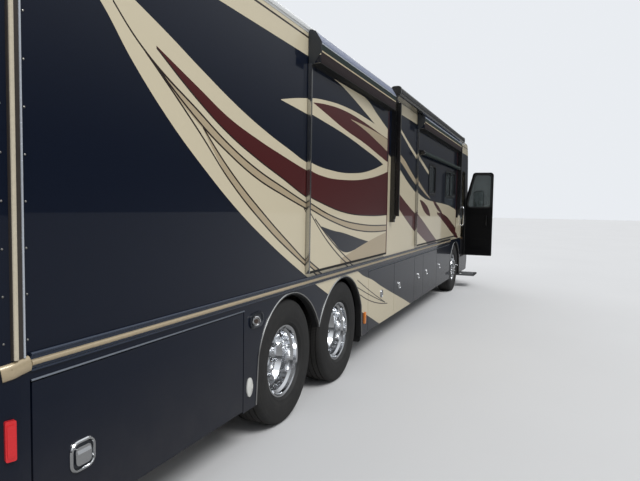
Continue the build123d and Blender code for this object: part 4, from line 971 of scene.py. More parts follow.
# The outer case: rear and front end along the coach, the face's distance out
AWNING_REAR, AWNING_FRONT, AWNING_OUT = -1.020, 4.440, 1.4125
line, caps, arms, cap_rims = begin(), begin(), begin(), begin()
# Two pale strips along the case's face: painted highlights.
for z, half in ((3.318, 0.005), (3.262, 0.003)):
    sweep(line, [(AWNING_REAR, -AWNING_OUT, z), (AWNING_FRONT, -AWNING_OUT, z)], (0, -1, 0),
          [(-half, -0.003), (-half, 0.002), (half, 0.002), (half, -0.003)])
CAP_Y, CAP_Z, CAP_THICK = -1.345, 3.300, 0.034
for x, sense in ((AWNING_REAR - 0.022, -1), (AWNING_FRONT - 0.012, 1)):
    outline = rounded(0.142, 0.134, 0.045, 6)
    slab(caps, (x, CAP_Y, CAP_Z), outline, (CAP_THICK, 0, 0))
    face_x = x + CAP_THICK if sense > 0 else x
    rim = [(-0.008, -0.001), (-0.007, 0.003), (-0.001, 0.003), (0.0, -0.001)]
    sweep(cap_rims, [(face_x, CAP_Y + y, CAP_Z + z) for y, z in outline], (sense, 0, 0),
          [(a * sense, b) for a, b in rim], closed=True)
bmesh.ops.bevel(caps, geom=caps.edges[:], offset=0.004, segments=2, affect="EDGES")
# Each arm: an inner bar on the wall with three joints, and an outer bar folded against it
ARM_INNER_Y, ARM_OUTER_Y, ARM_FACE_Y = -1.3425, -1.3525, -1.4005
ARM_LOW, ARM_HIGH = 1.70, 3.16
for x in (-0.97, 4.23):
    sweep(arms, [(x, ARM_OUTER_Y, ARM_LOW), (x, ARM_OUTER_Y, ARM_HIGH)], (0, -1, 0),
          [(-0.022, 0.004), (-0.022, 0.042), (-0.016, 0.048), (0.016, 0.048), (0.022, 0.042),
           (0.022, 0.004)])
    # A pale strip down the arm's face: a painted highlight.
    sweep(line, [(x, ARM_FACE_Y, ARM_LOW + 0.02), (x, ARM_FACE_Y, ARM_HIGH - 0.02)], (0, -1, 0),
          [(-0.007, -0.002), (-0.007, 0.002), (0.007, 0.002), (0.007, -0.002)])
    sweep(arms, [(x, ARM_INNER_Y, ARM_LOW - 0.04), (x, ARM_INNER_Y, ARM_HIGH + 0.04)], (0, -1, 0),
          [(-0.020, -0.002), (-0.020, 0.007), (-0.014, 0.010), (0.014, 0.010), (0.020, 0.007),
           (0.020, -0.002)])
    for z in (ARM_LOW, 2.42, ARM_HIGH + 0.01):
        lathe(arms, (x, ARM_INNER_Y, z),
              [(-0.002, 0), (-0.002, 0.027), (0.013, 0.027), (0.016, 0.022), (0.016, 0)], 24, (0, -1, 0))
fit_on("awning_case_painted_highlights", line, case_painted_highlight)
fit_on("awning_case_caps", caps, case_dark)
fit_on("awning_cap_rims", cap_rims, lip_steel)
fit_on("awning_arm_joints", arms, satin_black)
roller, knobs = begin(), begin()
ROLLER_Y, ROLLER_Z = -1.372, 2.665
lathe(roller, (0, ROLLER_Y, ROLLER_Z), [(0.52, 0), (0.52, 0.030), (4.02, 0.030), (4.02, 0)], 24,
      (1, 0, 0))
for x in (0.50, 4.02):
    lathe(knobs, (x, ROLLER_Y, ROLLER_Z),
          [(-0.01, 0), (-0.01, 0.030), (0.0, 0.038), (0.03, 0.038), (0.03, 0)], 24, (1, 0, 0))
    plate(knobs, [(x, -1.3175, 2.62), (x, -1.3175, 2.71), (x, -1.385, 2.69), (x, -1.385, 2.64)],
          (0.024, 0, 0))
# The window awning's roll carries the same painted reflection of trees.
fit_on("window_awning_roll", roller, canvas_painted_tree_reflection, "slide_2")
fit_on("window_awning_ends", knobs, satin_black, "slide_2")


# The entry door stands open, so its inner side shows: a black moulded panel with a window in a
# thick rubber frame with round corners, a pull handle, a latch box and a dark metal edge all round.
def rounded_corners(corners, grow_by=0.0, steps=6):
    """A polygon's outline with each corner rounded, moved outward by grow_by."""
    count = len(corners)
    spots = [Vector(corner[:2]) for corner in corners]
    moved = []
    for n, spot in enumerate(spots):
        one = (spot - spots[n - 1]).normalized()
        two = (spots[(n + 1) % count] - spot).normalized()
        half = math.acos(max(-1.0, min(1.0, one.dot(two)))) / 2
        moved.append((spot + (one - two).normalized() * grow_by / math.cos(half), one, two, half))
    points = []
    for (spot, one, two, half), corner in zip(moved, corners):
        radius = max(0.002, corner[2] + grow_by)
        start, turn_way = spot - one * radius * math.tan(half), Vector((-one.y, one.x))
        centre = start + turn_way * radius
        for n in range(steps + 1):
            turn = 2 * half * n / steps
            arm = start - centre
            points.append((centre.x + arm.x * math.cos(turn) - arm.y * math.sin(turn),
                           centre.y + arm.x * math.sin(turn) + arm.y * math.cos(turn)))
    return points


def holed_sheet(shape, outer, inner, near, far):
    """A flat sheet across the door with a window in it, between two places along the coach."""
    faces = []
    for x in (near, far):
        loops = [[shape.verts.new((x, y, z)) for y, z in edge] for edge in (outer, inner)]
        edges = [shape.edges.new((loop[n - 1], loop[n])) for loop in loops for n in range(len(loop))]
        bmesh.ops.triangle_fill(shape, use_beauty=True, edges=edges)
        faces.append(loops)
    for one, two in zip(*faces):
        for n in range(len(one)):
            shape.faces.new((one[n - 1], one[n], two[n], two[n - 1]))


def round_bar(radius, steps=10):
    """Section of a round bar."""
    return [(radius * math.cos(a), radius * math.sin(a))
            for a in (2 * math.pi * n / steps for n in range(steps))]


DOOR_IN, DOOR_OUT = 5.702, 5.742
PANEL_FOOT = 0.740
# Corners of the open door and of its window: across, height, then the corner's radius
DOOR = [(-1.9205, 0.705, 0.010), (-1.2955, 0.705, 0.010), (-1.2955, 2.040, 0.030),
        (-1.4605, 2.675, 0.070), (-1.9205, 2.675, 0.070)]
DOOR_WINDOW = [(-1.8625, 1.865, 0.070), (-1.3375, 1.865, 0.070), (-1.5075, 2.615, 0.070),
               (-1.8625, 2.615, 0.070)]
# Raised parts of the panel: middle y, middle z, width, height, corner, depth
RAISED = [(-1.610, 1.26, 0.46, 0.78, 0.05, 0.010), (-1.610, 1.00, 0.38, 0.20, 0.05, 0.026),
          (-1.600, 1.765, 0.50, 0.06, 0.02, 0.013), (-1.868, 1.56, 0.06, 0.20, 0.015, 0.036)]
# The pull handle: off the door's inner face, height
PULL_Y = -1.79
PULL = [(0.008, 1.40), (0.045, 1.42), (0.055, 1.46), (0.055, 1.60), (0.045, 1.65), (0.008, 1.67)]
door_black = finish("door_black", (0.003, 0.003, 0.0035), 0.5, grain=250, bump=0.25,
                    Specular_IOR_Level=0.2)
door_edge_metal = finish("door_edge_metal", (0.05, 0.05, 0.05), 0.35, metal=0.8, grain=60)
panel, trim, seal, pull = begin(), begin(), begin(), begin()
sheet = [(y, max(z, PANEL_FOOT), radius) for y, z, radius in DOOR]
holed_sheet(panel, rounded_corners(sheet, -0.006), rounded_corners(DOOR_WINDOW, 0.004),
            DOOR_IN, DOOR_IN - 0.008)
for y, z, width, height, corner, deep in RAISED:
    slab(panel, (DOOR_IN - 0.006, y, z), rounded(width, height, corner, 6), (-deep, 0, 0))
path = [(DOOR_IN - 0.008, y, z) for y, z in rounded_corners(DOOR_WINDOW, 0.010)]
sweep(seal, path, (-1, 0, 0),
      [(-0.026, -0.001), (-0.026, 0.008), (-0.019, 0.013), (-0.002, 0.013), (0.004, 0.007),
       (0.004, -0.030), (-0.009, -0.030), (-0.009, -0.001)], closed=True)
path = [((DOOR_IN + DOOR_OUT) / 2, y, z) for y, z in rounded_corners(DOOR)]
sweep(trim, path, (-1, 0, 0),
      [(-0.002, -0.021), (-0.002, 0.022), (0.010, 0.022), (0.010, 0.0202), (0.0002, 0.0202),
       (0.0002, -0.021)], closed=True)
sweep(pull, [(DOOR_IN - off, PULL_Y, z) for off, z in PULL], (0, 1, 0), round_bar(0.010))
fit_on("door_panel", panel, door_black, "door")
fit_on("door_window_seal", seal, black_rubber, "door")
fit_on("door_edge", trim, door_edge_metal, "door")
fit_on("door_pull", pull, satin_black, "door")
jamb = begin()
doorway = [(y - HINGE.y + HINGE.x, z, radius) for y, z, radius in DOOR]
path = [(x, -SIDE_Y + 0.021, z) for x, z in rounded_corners(doorway, 0.0059)]
sweep(jamb, path, (0, -1, 0),
      [(-0.0015, -0.021), (-0.0015, 0.0195), (0.006, 0.0195), (0.006, 0.023), (0.0005, 0.0195),
       (0.0005, -0.021)], closed=True)
fit_on("doorway_liner", jamb, black_rubber)

# Road tyres: moulded rubber with five ribs, bulged sidewalls and rings by the bead. They take the
# place of the plain tyres, on the same rims. Duals are two tyres on one hub.
# Tyre section, one half: off the middle plane, radius
TREAD = [(0.000, 0.520), (0.023, 0.520), (0.025, 0.509), (0.033, 0.509), (0.035, 0.5195),
         (0.075, 0.5185), (0.077, 0.5070), (0.086, 0.5070), (0.088, 0.5175), (0.112, 0.5145),
         (0.124, 0.5085), (0.1335, 0.497), (0.1385, 0.482)]
SIDEWALL = [(0.1395, 0.476), (0.1425, 0.470), (0.1425, 0.462), (0.1465, 0.446), (0.1490, 0.424),
            (0.1500, 0.404), (0.1488, 0.384), (0.1470, 0.374), (0.1475, 0.368), (0.1440, 0.356),
            (0.1395, 0.340), (0.1345, 0.327), (0.1350, 0.321), (0.1290, 0.313), (0.1180, 0.306),
            (0.1060, 0.3005)]
INSIDE = [(0.1050, 0.286), (0.0920, 0.289), (0.1190, 0.400), (0.1080, 0.470), (0.0, 0.484)]
tyre_rubber, tree, shader = blank_finish("tyre_rubber")
around = put(tree, "ShaderNodeUVMap", uv_map="around").outputs[0]
u, v = split(tree, around)[:2]
sipes = put(tree, "ShaderNodeTexWave", {"Vector": joined(tree, X=u, Y=calc(tree, "MULTIPLY", v, 0.5)),
                                        "Scale": 22.0, "Distortion": 1.2}).outputs["Fac"]
tread_zone = ramp(tree, v, 0.16, 0.12)
cut = calc(tree, "MULTIPLY", calc(tree, "GREATER_THAN", sipes, 0.86), tread_zone)
scuff = speckle(tree, own_place(tree), 14.0, 8.0, 0.7)
rubber = lay(tree, rgb(0.010, 0.010, 0.0105), scuff, rgb(0.034, 0.033, 0.031))
rubber = lay(tree, rubber, calc(tree, "MULTIPLY", tread_zone, 0.35), rgb(0.075, 0.070, 0.064))
# The sipes are painted near black: painted shade in the cuts, on top of their bump.
rubber = lay(tree, rubber, cut, rgb(0.004, 0.004, 0.004))
rings = put(tree, "ShaderNodeTexWave", {"Vector": joined(tree, X=v), "Scale": 34.0}).outputs["Fac"]
relief = calc(tree, "MULTIPLY_ADD", rings,
              calc(tree, "MULTIPLY", calc(tree, "SUBTRACT", 1.0, tread_zone), 0.22),
              calc(tree, "MULTIPLY", cut, -2.0))
relief = calc(tree, "MULTIPLY_ADD", scuff, 0.25, relief)
fill(tree, shader, {"Base Color": rubber, "Roughness": 0.68,
                    "Normal": embossed(tree, relief, 0.5, 0.002)})
DUAL_PITCH = 0.343
WHEELS = [(axle, end, side) for axle in AXLES for end, side in (("right", -1), ("left", 1))]
TYRE_STEPS = 80
TYRE_LENGTH = 3.2


def road_tyre(centres, axle_x):
    """Tyres with their treads out and a UV that runs round (u) and down the section (v)."""
    half = TREAD + SIDEWALL + INSIDE
    ring = half + [(-a, r) for a, r in reversed(half[1:-1])]
    lengths = [0.0]
    for (a, r), (b, s) in zip(half, half[1:]):
        lengths.append(lengths[-1] + math.hypot(b - a, s - r))
    down = lengths + lengths[-2:0:-1]
    corners, faces, uvs = [], [], []
    for centre in centres:
        start = len(corners)
        for step in range(TYRE_STEPS):
            a = 2 * math.pi * step / TYRE_STEPS
            corners += [(axle_x + r * math.sin(a), centre + off, AXLE_Z + r * math.cos(a))
                        for off, r in ring]
        size = len(ring)
        for step in range(TYRE_STEPS):
            ahead = (step + 1) % TYRE_STEPS
            for n in range(size):
                m = (n + 1) % size
                faces.append((start + step * size + n, start + step * size + m,
                              start + ahead * size + m, start + ahead * size + n))
                uvs += [(TYRE_LENGTH * (step + s) / TYRE_STEPS, down[k])
                        for s, k in ((0, n), (0, m), (1, m), (1, n))]
    return corners, faces, uvs


for axle, end, side in WHEELS:
    centres = [side * TRACK] + ([side * (TRACK - DUAL_PITCH)] if axle == "drive" else [])
    corners, faces, uvs = road_tyre(centres, AXLES[axle])
    mesh = bpy.data.meshes.new(f"road_tyre_{axle}_{end}")
    mesh.from_pydata(corners, [], faces)
    layer = mesh.uv_layers.new(name="around")
    for spot, uv in zip(layer.data, uvs):
        spot.uv = uv
    mesh.materials.append(tyre_rubber)
    mesh.shade_smooth()
    mesh.set_sharp_from_angle(angle=math.radians(40))
    piece = stand(f"road_tyre_{axle}_{end}", mesh)
    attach(piece, f"{axle}_{end}")
    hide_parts(f"tyre_{axle}_{end}")

# Chromed hub covers with a stepped dome stand in the middle of each wheel, inside a ring of
# ten capped lug nuts. A valve stem comes out of one hand hole.
NUTS, NUT_CIRCLE = 10, 0.143
chrome = finish("chrome", (0.86, 0.87, 0.88), 0.05, metal=1.0, grain=10, vary=0.02, bump=0.005)
nut_ring, start, end = named_tree("nut_ring", [("Count", "Int", NUTS), ("Circle", "Float", NUT_CIRCLE),
                                               ("Width", "Float", 0.0185), ("Height", "Float", 0.046)])
ring = put(nut_ring, "GeometryNodeMeshCircle", {"Vertices": start.outputs["Count"],
                                                "Radius": start.outputs["Circle"]})
collar_r = calc(nut_ring, "MULTIPLY", start.outputs["Width"], 1.18)
top_z = calc(nut_ring, "MULTIPLY", start.outputs["Height"], 0.86)
tip_r = calc(nut_ring, "MULTIPLY", start.outputs["Width"], 0.90)
collar = put(nut_ring, "GeometryNodeMeshCone", {"Vertices": 20, "Radius Bottom": collar_r,
                                                "Radius Top": collar_r, "Depth": 0.009})
barrel = put(nut_ring, "GeometryNodeMeshCone", {"Vertices": 6, "Radius Bottom": start.outputs["Width"],
                                                "Radius Top": tip_r, "Depth": top_z})
dome = put(nut_ring, "GeometryNodeMeshUVSphere", {"Segments": 12, "Rings": 6, "Radius": tip_r})
cap = put(nut_ring, "GeometryNodeTransform", {"Geometry": dome.outputs[0], "Scale": (0.95, 0.95, 0.55),
                                              "Translation": joined(nut_ring, Z=top_z)})
nut = nut_ring.nodes.new("GeometryNodeJoinGeometry")
for source in (collar, barrel, cap):
    nut_ring.links.new(source.outputs[0], nut.inputs[0])
close_tree(nut_ring, end, ring.outputs[0], nut.outputs[0], chrome)
# Hub cover sections: out from the wheel's disc, radius
REAR_COVER = [(0.001, 0.0), (0.001, 0.116), (0.006, 0.120), (0.012, 0.118), (0.020, 0.104), (0.080, 0.093),
              (0.094, 0.086), (0.101, 0.074), (0.108, 0.070), (0.112, 0.060), (0.117, 0.034), (0.119, 0.0)]
FRONT_COVER = [(0.001, 0.0), (0.001, 0.114), (0.006, 0.116), (0.014, 0.100), (0.026, 0.078), (0.032, 0.070),
               (0.0345, 0.058), (0.036, 0.030), (0.0368, 0.0)]
# How far out the wheel's disc stands, its hub cover and the height of its nuts
FRONT_HUB = (1.245, FRONT_COVER, 0.032)
REAR_HUB = (TRACK - DUAL_PITCH / 2 + 0.024, REAR_COVER, 0.046)
for axle, end_name, side in WHEELS:
    disc, section, height = FRONT_HUB if axle == "front" else REAR_HUB
    wheel = f"{axle}_{end_name}"
    middle = Vector((AXLES[axle], side * disc, AXLE_Z))
    cover = begin()
    lathe(cover, middle, section, 48, (0, side, 0))
    if axle != "front":
        lathe(cover, middle + Vector((0, side * 0.118, 0)),
              [(0.0, 0), (0, 0.018), (0.008, 0.016), (0.010, 0)], 6, (0, side, 0))
    lathe(cover, middle + Vector((0.208, -side * 0.012, 0.030)),
          [(0, 0), (0, 0.005), (0.075, 0.004), (0.078, 0.0055), (0.092, 0.0055), (0.094, 0)], 12,
          (-0.25, side, 0))
    fit_on(f"hub_cover_{wheel}", cover, chrome, wheel, crease=30)
    outboard = Matrix.Translation(middle) @ Matrix.Rotation(math.radians(-90 * side), 4, "X")
    grow(f"lug_nuts_{wheel}", nut_ring, {"Count": NUTS, "Circle": NUT_CIRCLE, "Height": height},
         wheel, outboard)

# The nose: each windshield pane sits in a black rubber gasket and is wiped by a black arm. The
# grille's bars carry chrome strips over a dark screen, and the lamps have chrome bezels.
front_skin = skin_of("front_cap", "lamps")


def on_nose(y, z, lift=0.0):
    """Place and outward way on the nose, seen from straight ahead."""
    spot, normal = front_skin.ray_cast(Vector((9, y, z)), Vector((-1, 0, 0)))[:2]
    return spot + normal * lift, normal


def loop_on(where, middle, width, height, radius, steps=5):
    """A rounded rectangle laid on the nose or the rear: its places and outward ways."""
    return list(zip(*[where(middle[0] + a, middle[1] + b)
                      for a, b in rounded(width, height, radius, steps)]))


gasket, wipers, strips, bezels, screen = begin(), begin(), begin(), begin(), begin()
GASKET = [(-0.024, -0.006), (-0.024, 0.004), (-0.014, 0.008), (0.012, 0.008), (0.020, 0.002),
          (0.020, -0.018)]
ARM_FLAT = [(-0.009, -0.004), (-0.009, 0.004), (0.009, 0.004), (0.009, -0.004)]
BLADE = [(-0.006, -0.008), (-0.008, 0.006), (0.008, 0.006), (0.006, -0.008)]
# The way out of the windshield where the blade lies, and the blade's height
GLASS_OUT = (1, 0, 0.13)
BLADE_Z = 1.60
for side in (-1, 1):
    sweep(gasket, *loop_on(on_nose, (side * 0.57125, 2.240), 1.0985 + 0.030, 1.400 + 0.030, 0.018, 4),
          GASKET, closed=True)
    pivot, out = on_nose(side * 0.42, 1.475)
    lathe(wipers, pivot - out * 0.002,
          [(0, 0), (0, 0.030), (0.022, 0.026), (0.030, 0.018), (0.030, 0)], 20, out)
    arm = [on_nose(side * y, z, lift)[0] for y, z, lift in ((0.42, 1.475, 0.030), (0.52, 1.50, 0.032))]
    arm.append(Vector((on_nose(side * 0.70, 1.51)[0].x, side * 0.72, BLADE_Z)))
    sweep(wipers, arm, GLASS_OUT, ARM_FLAT)
    blade = [(on_nose(side * y, 1.510)[0].x - 0.016, side * y, BLADE_Z) for y in (0.20, 0.46, 0.72, 0.98)]
    sweep(wipers, blade, GLASS_OUT, BLADE)
GRILLE_FOOT, BAR_PITCH, BARS = 0.609, 0.060, 7
for row in range(BARS):
    bar = [on_nose(0.62 * n / 8, GRILLE_FOOT + BAR_PITCH * row) for n in range(-8, 9)]
    sweep(strips, *zip(*bar), [(-0.009, -0.001), (-0.007, 0.004), (0.0, 0.007), (0.007, 0.004),
                               (0.009, -0.001)])
BEZEL = [(-0.013, -0.004), (-0.013, 0.005), (-0.005, 0.010), (0.005, 0.009), (0.011, 0.003),
         (0.011, -0.004)]
sweep(strips, *loop_on(on_nose, (0, 0.789), 1.29, 0.40, 0.03, 4), BEZEL, closed=True)
# Lamps of the nose: middle y, middle z, width, height, corner
NOSE_LAMPS = [(1.0305, 0.930, 0.420, 0.260, 0.060), (1.0205, 0.550, 0.240, 0.100, 0.045)]
lens_rings, eyes = begin(), begin()
for side in (-1, 1):
    for y, z, width, height, corner in NOSE_LAMPS:
        sweep(bezels, *loop_on(on_nose, (side * y, z), width + 0.022, height + 0.022, corner + 0.011, 5),
              BEZEL, closed=True)
    for y, r in ((0.925, 0.086), (1.125, 0.080)):
        spot, out = on_nose(side * y, 0.930)
        lathe(lens_rings, spot - out * 0.006,
              [(0, r - 0.034), (0, r), (0.009, r), (0.014, r - 0.005), (0.009, r - 0.012),
               (0.0075, r - 0.034)], 36, out)
        lathe(eyes, spot - out * 0.004,
              [(0, 0), (0, r - 0.036), (0.008, r - 0.038), (0.014, r - 0.052), (0.016, 0)], 32, out)
    spot, out = on_nose(side * 1.0205, 0.550)
    lathe(lens_rings, spot - out * 0.004,
          [(0, 0.034), (0, 0.040), (0.007, 0.040), (0.009, 0.036), (0.006, 0.034)], 28, out)
columns = [[on_nose(0.66 * n / 10, z, -0.0405)[0] for n in range(-10, 11)] for z in (0.375, 0.606, 0.99)]
for depth in (0.0, 0.006):
    rows = [[screen.verts.new(spot - Vector((depth, 0, 0))) for spot in row] for row in columns]
    for first, second in zip(rows, rows[1:]):
        for n in range(len(first) - 1):
            screen.faces.new((first[n], first[n + 1], second[n + 1], second[n]))
fit_on("windshield_gasket", gasket, black_rubber)
fit_on("wipers", wipers, satin_black)
fit_on("grille_strips", strips, bright_metal)
fit_on("grille_screen", screen, black_plastic)
fit_on("lamp_bezels", bezels, bright_metal)
fit_on("lamp_rings", lens_rings, chrome)
lamp_eye = finish("lamp_eye", (0.10, 0.115, 0.13), 0.08, grain=90, coat=1.0)
fit_on("lamp_eyes", eyes, lamp_eye)
lamp_lens, tree, shader = blank_finish("lamp_lens")
place = own_place(tree)
flutes = put(tree, "ShaderNodeTexWave", {"Vector": place, "Scale": 18.0}, bands_direction="Y")
cloudy = speckle(tree, place, 25.0, 4.0)
pale = lay(tree, rgb(0.17, 0.18, 0.20), cloudy, rgb(0.30, 0.32, 0.34))
deep_red = lay(tree, rgb(0.34, 0.008, 0.010), cloudy, rgb(0.55, 0.015, 0.018))
at_rear = calc(tree, "LESS_THAN", split(tree, place)["X"], 0.0)
fill(tree, shader, {"Base Color": lay(tree, pale, at_rear, deep_red), "Roughness": 0.16,
                    "Normal": embossed(tree, flutes.outputs["Fac"], 0.25, 0.003),
                    "Coat Weight": 1.0})
dress(lamp_lens, "lamps")

# Side mirrors: two panes of silvered glass set in each moulded head, the small one below for a
# wide view.
silvered = finish("silvered", (0.80, 0.83, 0.85), 0.03, metal=1.0, grain=3, vary=0.02, bump=0.0)
panes = begin()
for side in (-1, 1):
    for low, high in ((1.822, 1.912), (1.928, 2.238)):
        slab(panes, (6.0035, side * (SIDE_Y + 0.277), (low + high) / 2),
             rounded(0.202, high - low - 0.004, 0.038), (-0.0025, 0, 0))
fit_on("mirror_panes", panes, silvered)

# The rear: pressed hoods over the hatch's air slots, bezels round the tall lamps, a brake bar and
# five clearance lamps along each end of the roof. The exhaust turns down under the right corner.
rear_skin = skin_of("rear_cap", "rear_hatch", "lamps")


def on_rear(y, z, lift=0.0):
    """Place and outward way on the rear, seen from straight behind."""
    spot, normal = rear_skin.ray_cast(Vector((-9, y, z)), Vector((1, 0, 0)))[:2]
    return spot + normal * lift, normal


louvre_row, start, end = named_tree("louvre_row", [("Count", "Int", 9), ("Pitch", "Vector", (0, 0, 0.065)),
                                                  ("Size", "Vector", (0.05, 0.65, 0.003)),
                                                  ("Tilt", "Vector", (0, 0.6, 0))])
line = put(louvre_row, "GeometryNodeMeshLine", {"Count": start.outputs["Count"],
                                                "Offset": start.outputs["Pitch"]})
blade = put(louvre_row, "GeometryNodeMeshCube", {"Size": start.outputs["Size"]})
close_tree(louvre_row, end, line.outputs[0], blade.outputs[0], satin_black, start.outputs["Tilt"])
for side, name in ((-1, "right"), (1, "left")):
    grow(f"hatch_hoods_{name}", louvre_row,
         {"Count": 9, "Pitch": (0, 0, 0.065), "Size": (0.046, 0.652, 0.0035),
          "Tilt": (0, math.radians(-34), 0)},
         "hatch", Matrix.Translation((-6.668, side * 0.385, 0.734)))
rear_bezels, brake_bar, clear_red, clear_amber, latch = begin(), begin(), begin(), begin(), begin()
REAR_LAMP_Y = 1.0505
for side in (-1, 1):
    sweep(rear_bezels, *loop_on(on_rear, (side * REAR_LAMP_Y, 1.060), 0.162, 0.622, 0.071, 5),
          BEZEL, closed=True)
    for z in (0.84, 1.06, 1.28):
        spot, out = on_rear(side * REAR_LAMP_Y, z)
        lathe(rear_bezels, spot - out * 0.005,
              [(0, 0.049), (0, 0.055), (0.008, 0.055), (0.011, 0.051), (0.008, 0.049)], 32, out)
bar = [on_rear(0.05 * n, 3.16) for n in range(-4, 5)]
sweep(brake_bar, *zip(*bar), [(-0.017, -0.002), (-0.015, 0.010), (-0.008, 0.014), (0.008, 0.014),
                              (0.015, 0.010), (0.017, -0.002)])
for y in (-0.98, -0.22, 0.0, 0.22, 0.98):
    for where, z, shape in ((on_nose, 3.27, clear_amber), (on_rear, 3.29, clear_red)):
        spot, out = where(y, z)
        lathe(shape, spot - out * 0.003,
              [(0, 0), (0, 0.034), (0.010, 0.033), (0.020, 0.022), (0.024, 0.0)], 24, out)
for y in (-0.45, 0.45):
    spot, out = on_rear(y, 0.660)
    lathe(latch, spot - out * 0.001,
          [(0, 0), (0, 0.028), (0.008, 0.026), (0.012, 0.018), (0.012, 0)], 24, out)
fit_on("rear_lamp_bezels", rear_bezels, bright_metal)
fit_on("brake_bar", brake_bar, lens_red)
fit_on("clearance_red", clear_red, lens_red)
fit_on("clearance_amber", clear_amber, lens_amber)
fit_on("hatch_latches", latch, bright_metal, "hatch")
exhaust = begin()
route = [(-6.02, -0.34, 0.50), (-6.10, -0.52, 0.47), (-6.22, -0.68, 0.40), (-6.38, -0.76, 0.33),
         (-6.60, -0.78, 0.29)]
sweep(exhaust, route, (0, 0, 1), round_bar(0.055, 20))
lathe(exhaust, (-6.62, -0.782, 0.286),
      [(0.0, 0.056), (0.0, 0.066), (0.010, 0.068), (0.130, 0.066), (0.140, 0.062), (0.140, 0.056)],
      32, (1, 0.07, 0.17))
fit_on("exhaust", exhaust, lip_steel)

# The roof has an extruded drip rail along each edge. Each air unit's moulded shroud has rows of
# intake slats on both flanks, and the vents have a domed lid.
gutter = begin()
for side in (-1, 1):
    sweep(gutter, along_side(side, -6.38, 5.28, 3.292), (0, side, 0),
          [(-0.014, -0.002), (-0.014, 0.010), (-0.010, 0.012), (-0.006, 0.005), (0.008, 0.004),
           (0.010, -0.002)])
fit_on("drip_rails", gutter, roof_skin)
AIR_UNITS = (-4.3, 0.3, 3.4)
for n, x in enumerate(AIR_UNITS, start=1):
    for side, name in ((-1, "right"), (1, "left")):
        grow(f"air_unit_slats_{n}_{name}", louvre_row,
             {"Count": 6, "Pitch": (0, -side * 0.0085, 0.027), "Size": (0.56, 0.016, 0.006),
              "Tilt": (side * math.radians(17.5), 0, 0)},
             place=Matrix.Translation((x, side * 0.335, 3.59)))
lids = begin()
for x in (-1.7, 2.1):
    slab(lids, (x, 0, 3.676), rounded(0.33, 0.33, 0.05), (0, 0, 0.022))
bmesh.ops.bevel(lids, geom=lids.edges[:], offset=0.006, segments=2, affect="EDGES")
fit_on("vent_lids", lids, black_plastic)

# The entry step is a folded steel plate with pressed ribs and a rubber nosing.
rib_row, start, end = named_tree("rib_row", [("Count", "Int", 22), ("Pitch", "Vector", (0.023, 0, 0)),
                                            ("Length", "Float", 0.25), ("Radius", "Float", 0.004)])
line = put(rib_row, "GeometryNodeMeshLine", {"Count": start.outputs["Count"],
                                             "Offset": start.outputs["Pitch"]})
rib = put(rib_row, "GeometryNodeMeshCylinder", {"Vertices": 8, "Radius": start.outputs["Radius"],
                                                "Depth": start.outputs["Length"]})
close_tree(rib_row, end, line.outputs[0], rib.outputs[0], step_grey, (math.pi / 2, 0, 0))
grow("step_ribs", rib_row, {"Count": 22, "Pitch": (0.0235, 0, 0), "Length": 0.24, "Radius": 0.004}, "step",
     Matrix.Translation((5.168, -1.450, 0.2995)))
nosing = begin()
sweep(nosing, [(5.150, -1.600, 0.281), (5.680, -1.600, 0.281)], (0, -1, 0),
      [(-0.021, -0.03), (-0.021, 0.002), (-0.012, 0.006), (0.012, 0.006), (0.019, 0.002),
       (0.019, 0.0), (-0.0185, 0.0), (-0.0185, -0.03)])
fit_on("step_nosing", nosing, black_rubber, "step")

# The two cab seats are leather over foam: a cushion, a back and a head rest with sewn channels, on
# a steel pan and swivel pedestal, with moulded arm rests. The pads are blown up with cloth pressure.
SEATS = [("driver", 5.150, 0.620), ("passenger", 4.900, -0.400)]
FLOOR_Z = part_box("floor")[1][2]
seat_leather, tree, shader = blank_finish("seat_leather")
place = own_place(tree)
grain = put(tree, "ShaderNodeTexVoronoi", {"Vector": place, "Scale": 260.0}).outputs["Distance"]
worn = speckle(tree, place, 7.0, 5.0)
fill(tree, shader, {"Base Color": lay(tree, rgb(0.34, 0.27, 0.19), worn, rgb(0.44, 0.36, 0.26)),
                    "Roughness": calc(tree, "MULTIPLY_ADD", worn, 0.25, 0.36),
                    "Normal": embossed(tree, grain, 0.35, 0.0012)})
PAD_GRID = 0.014
PAD_SWELL = 0.014
SEAM_WIDTH, SEAM_DEPTH = 0.009, 0.009
BLOW_STEPS = 20


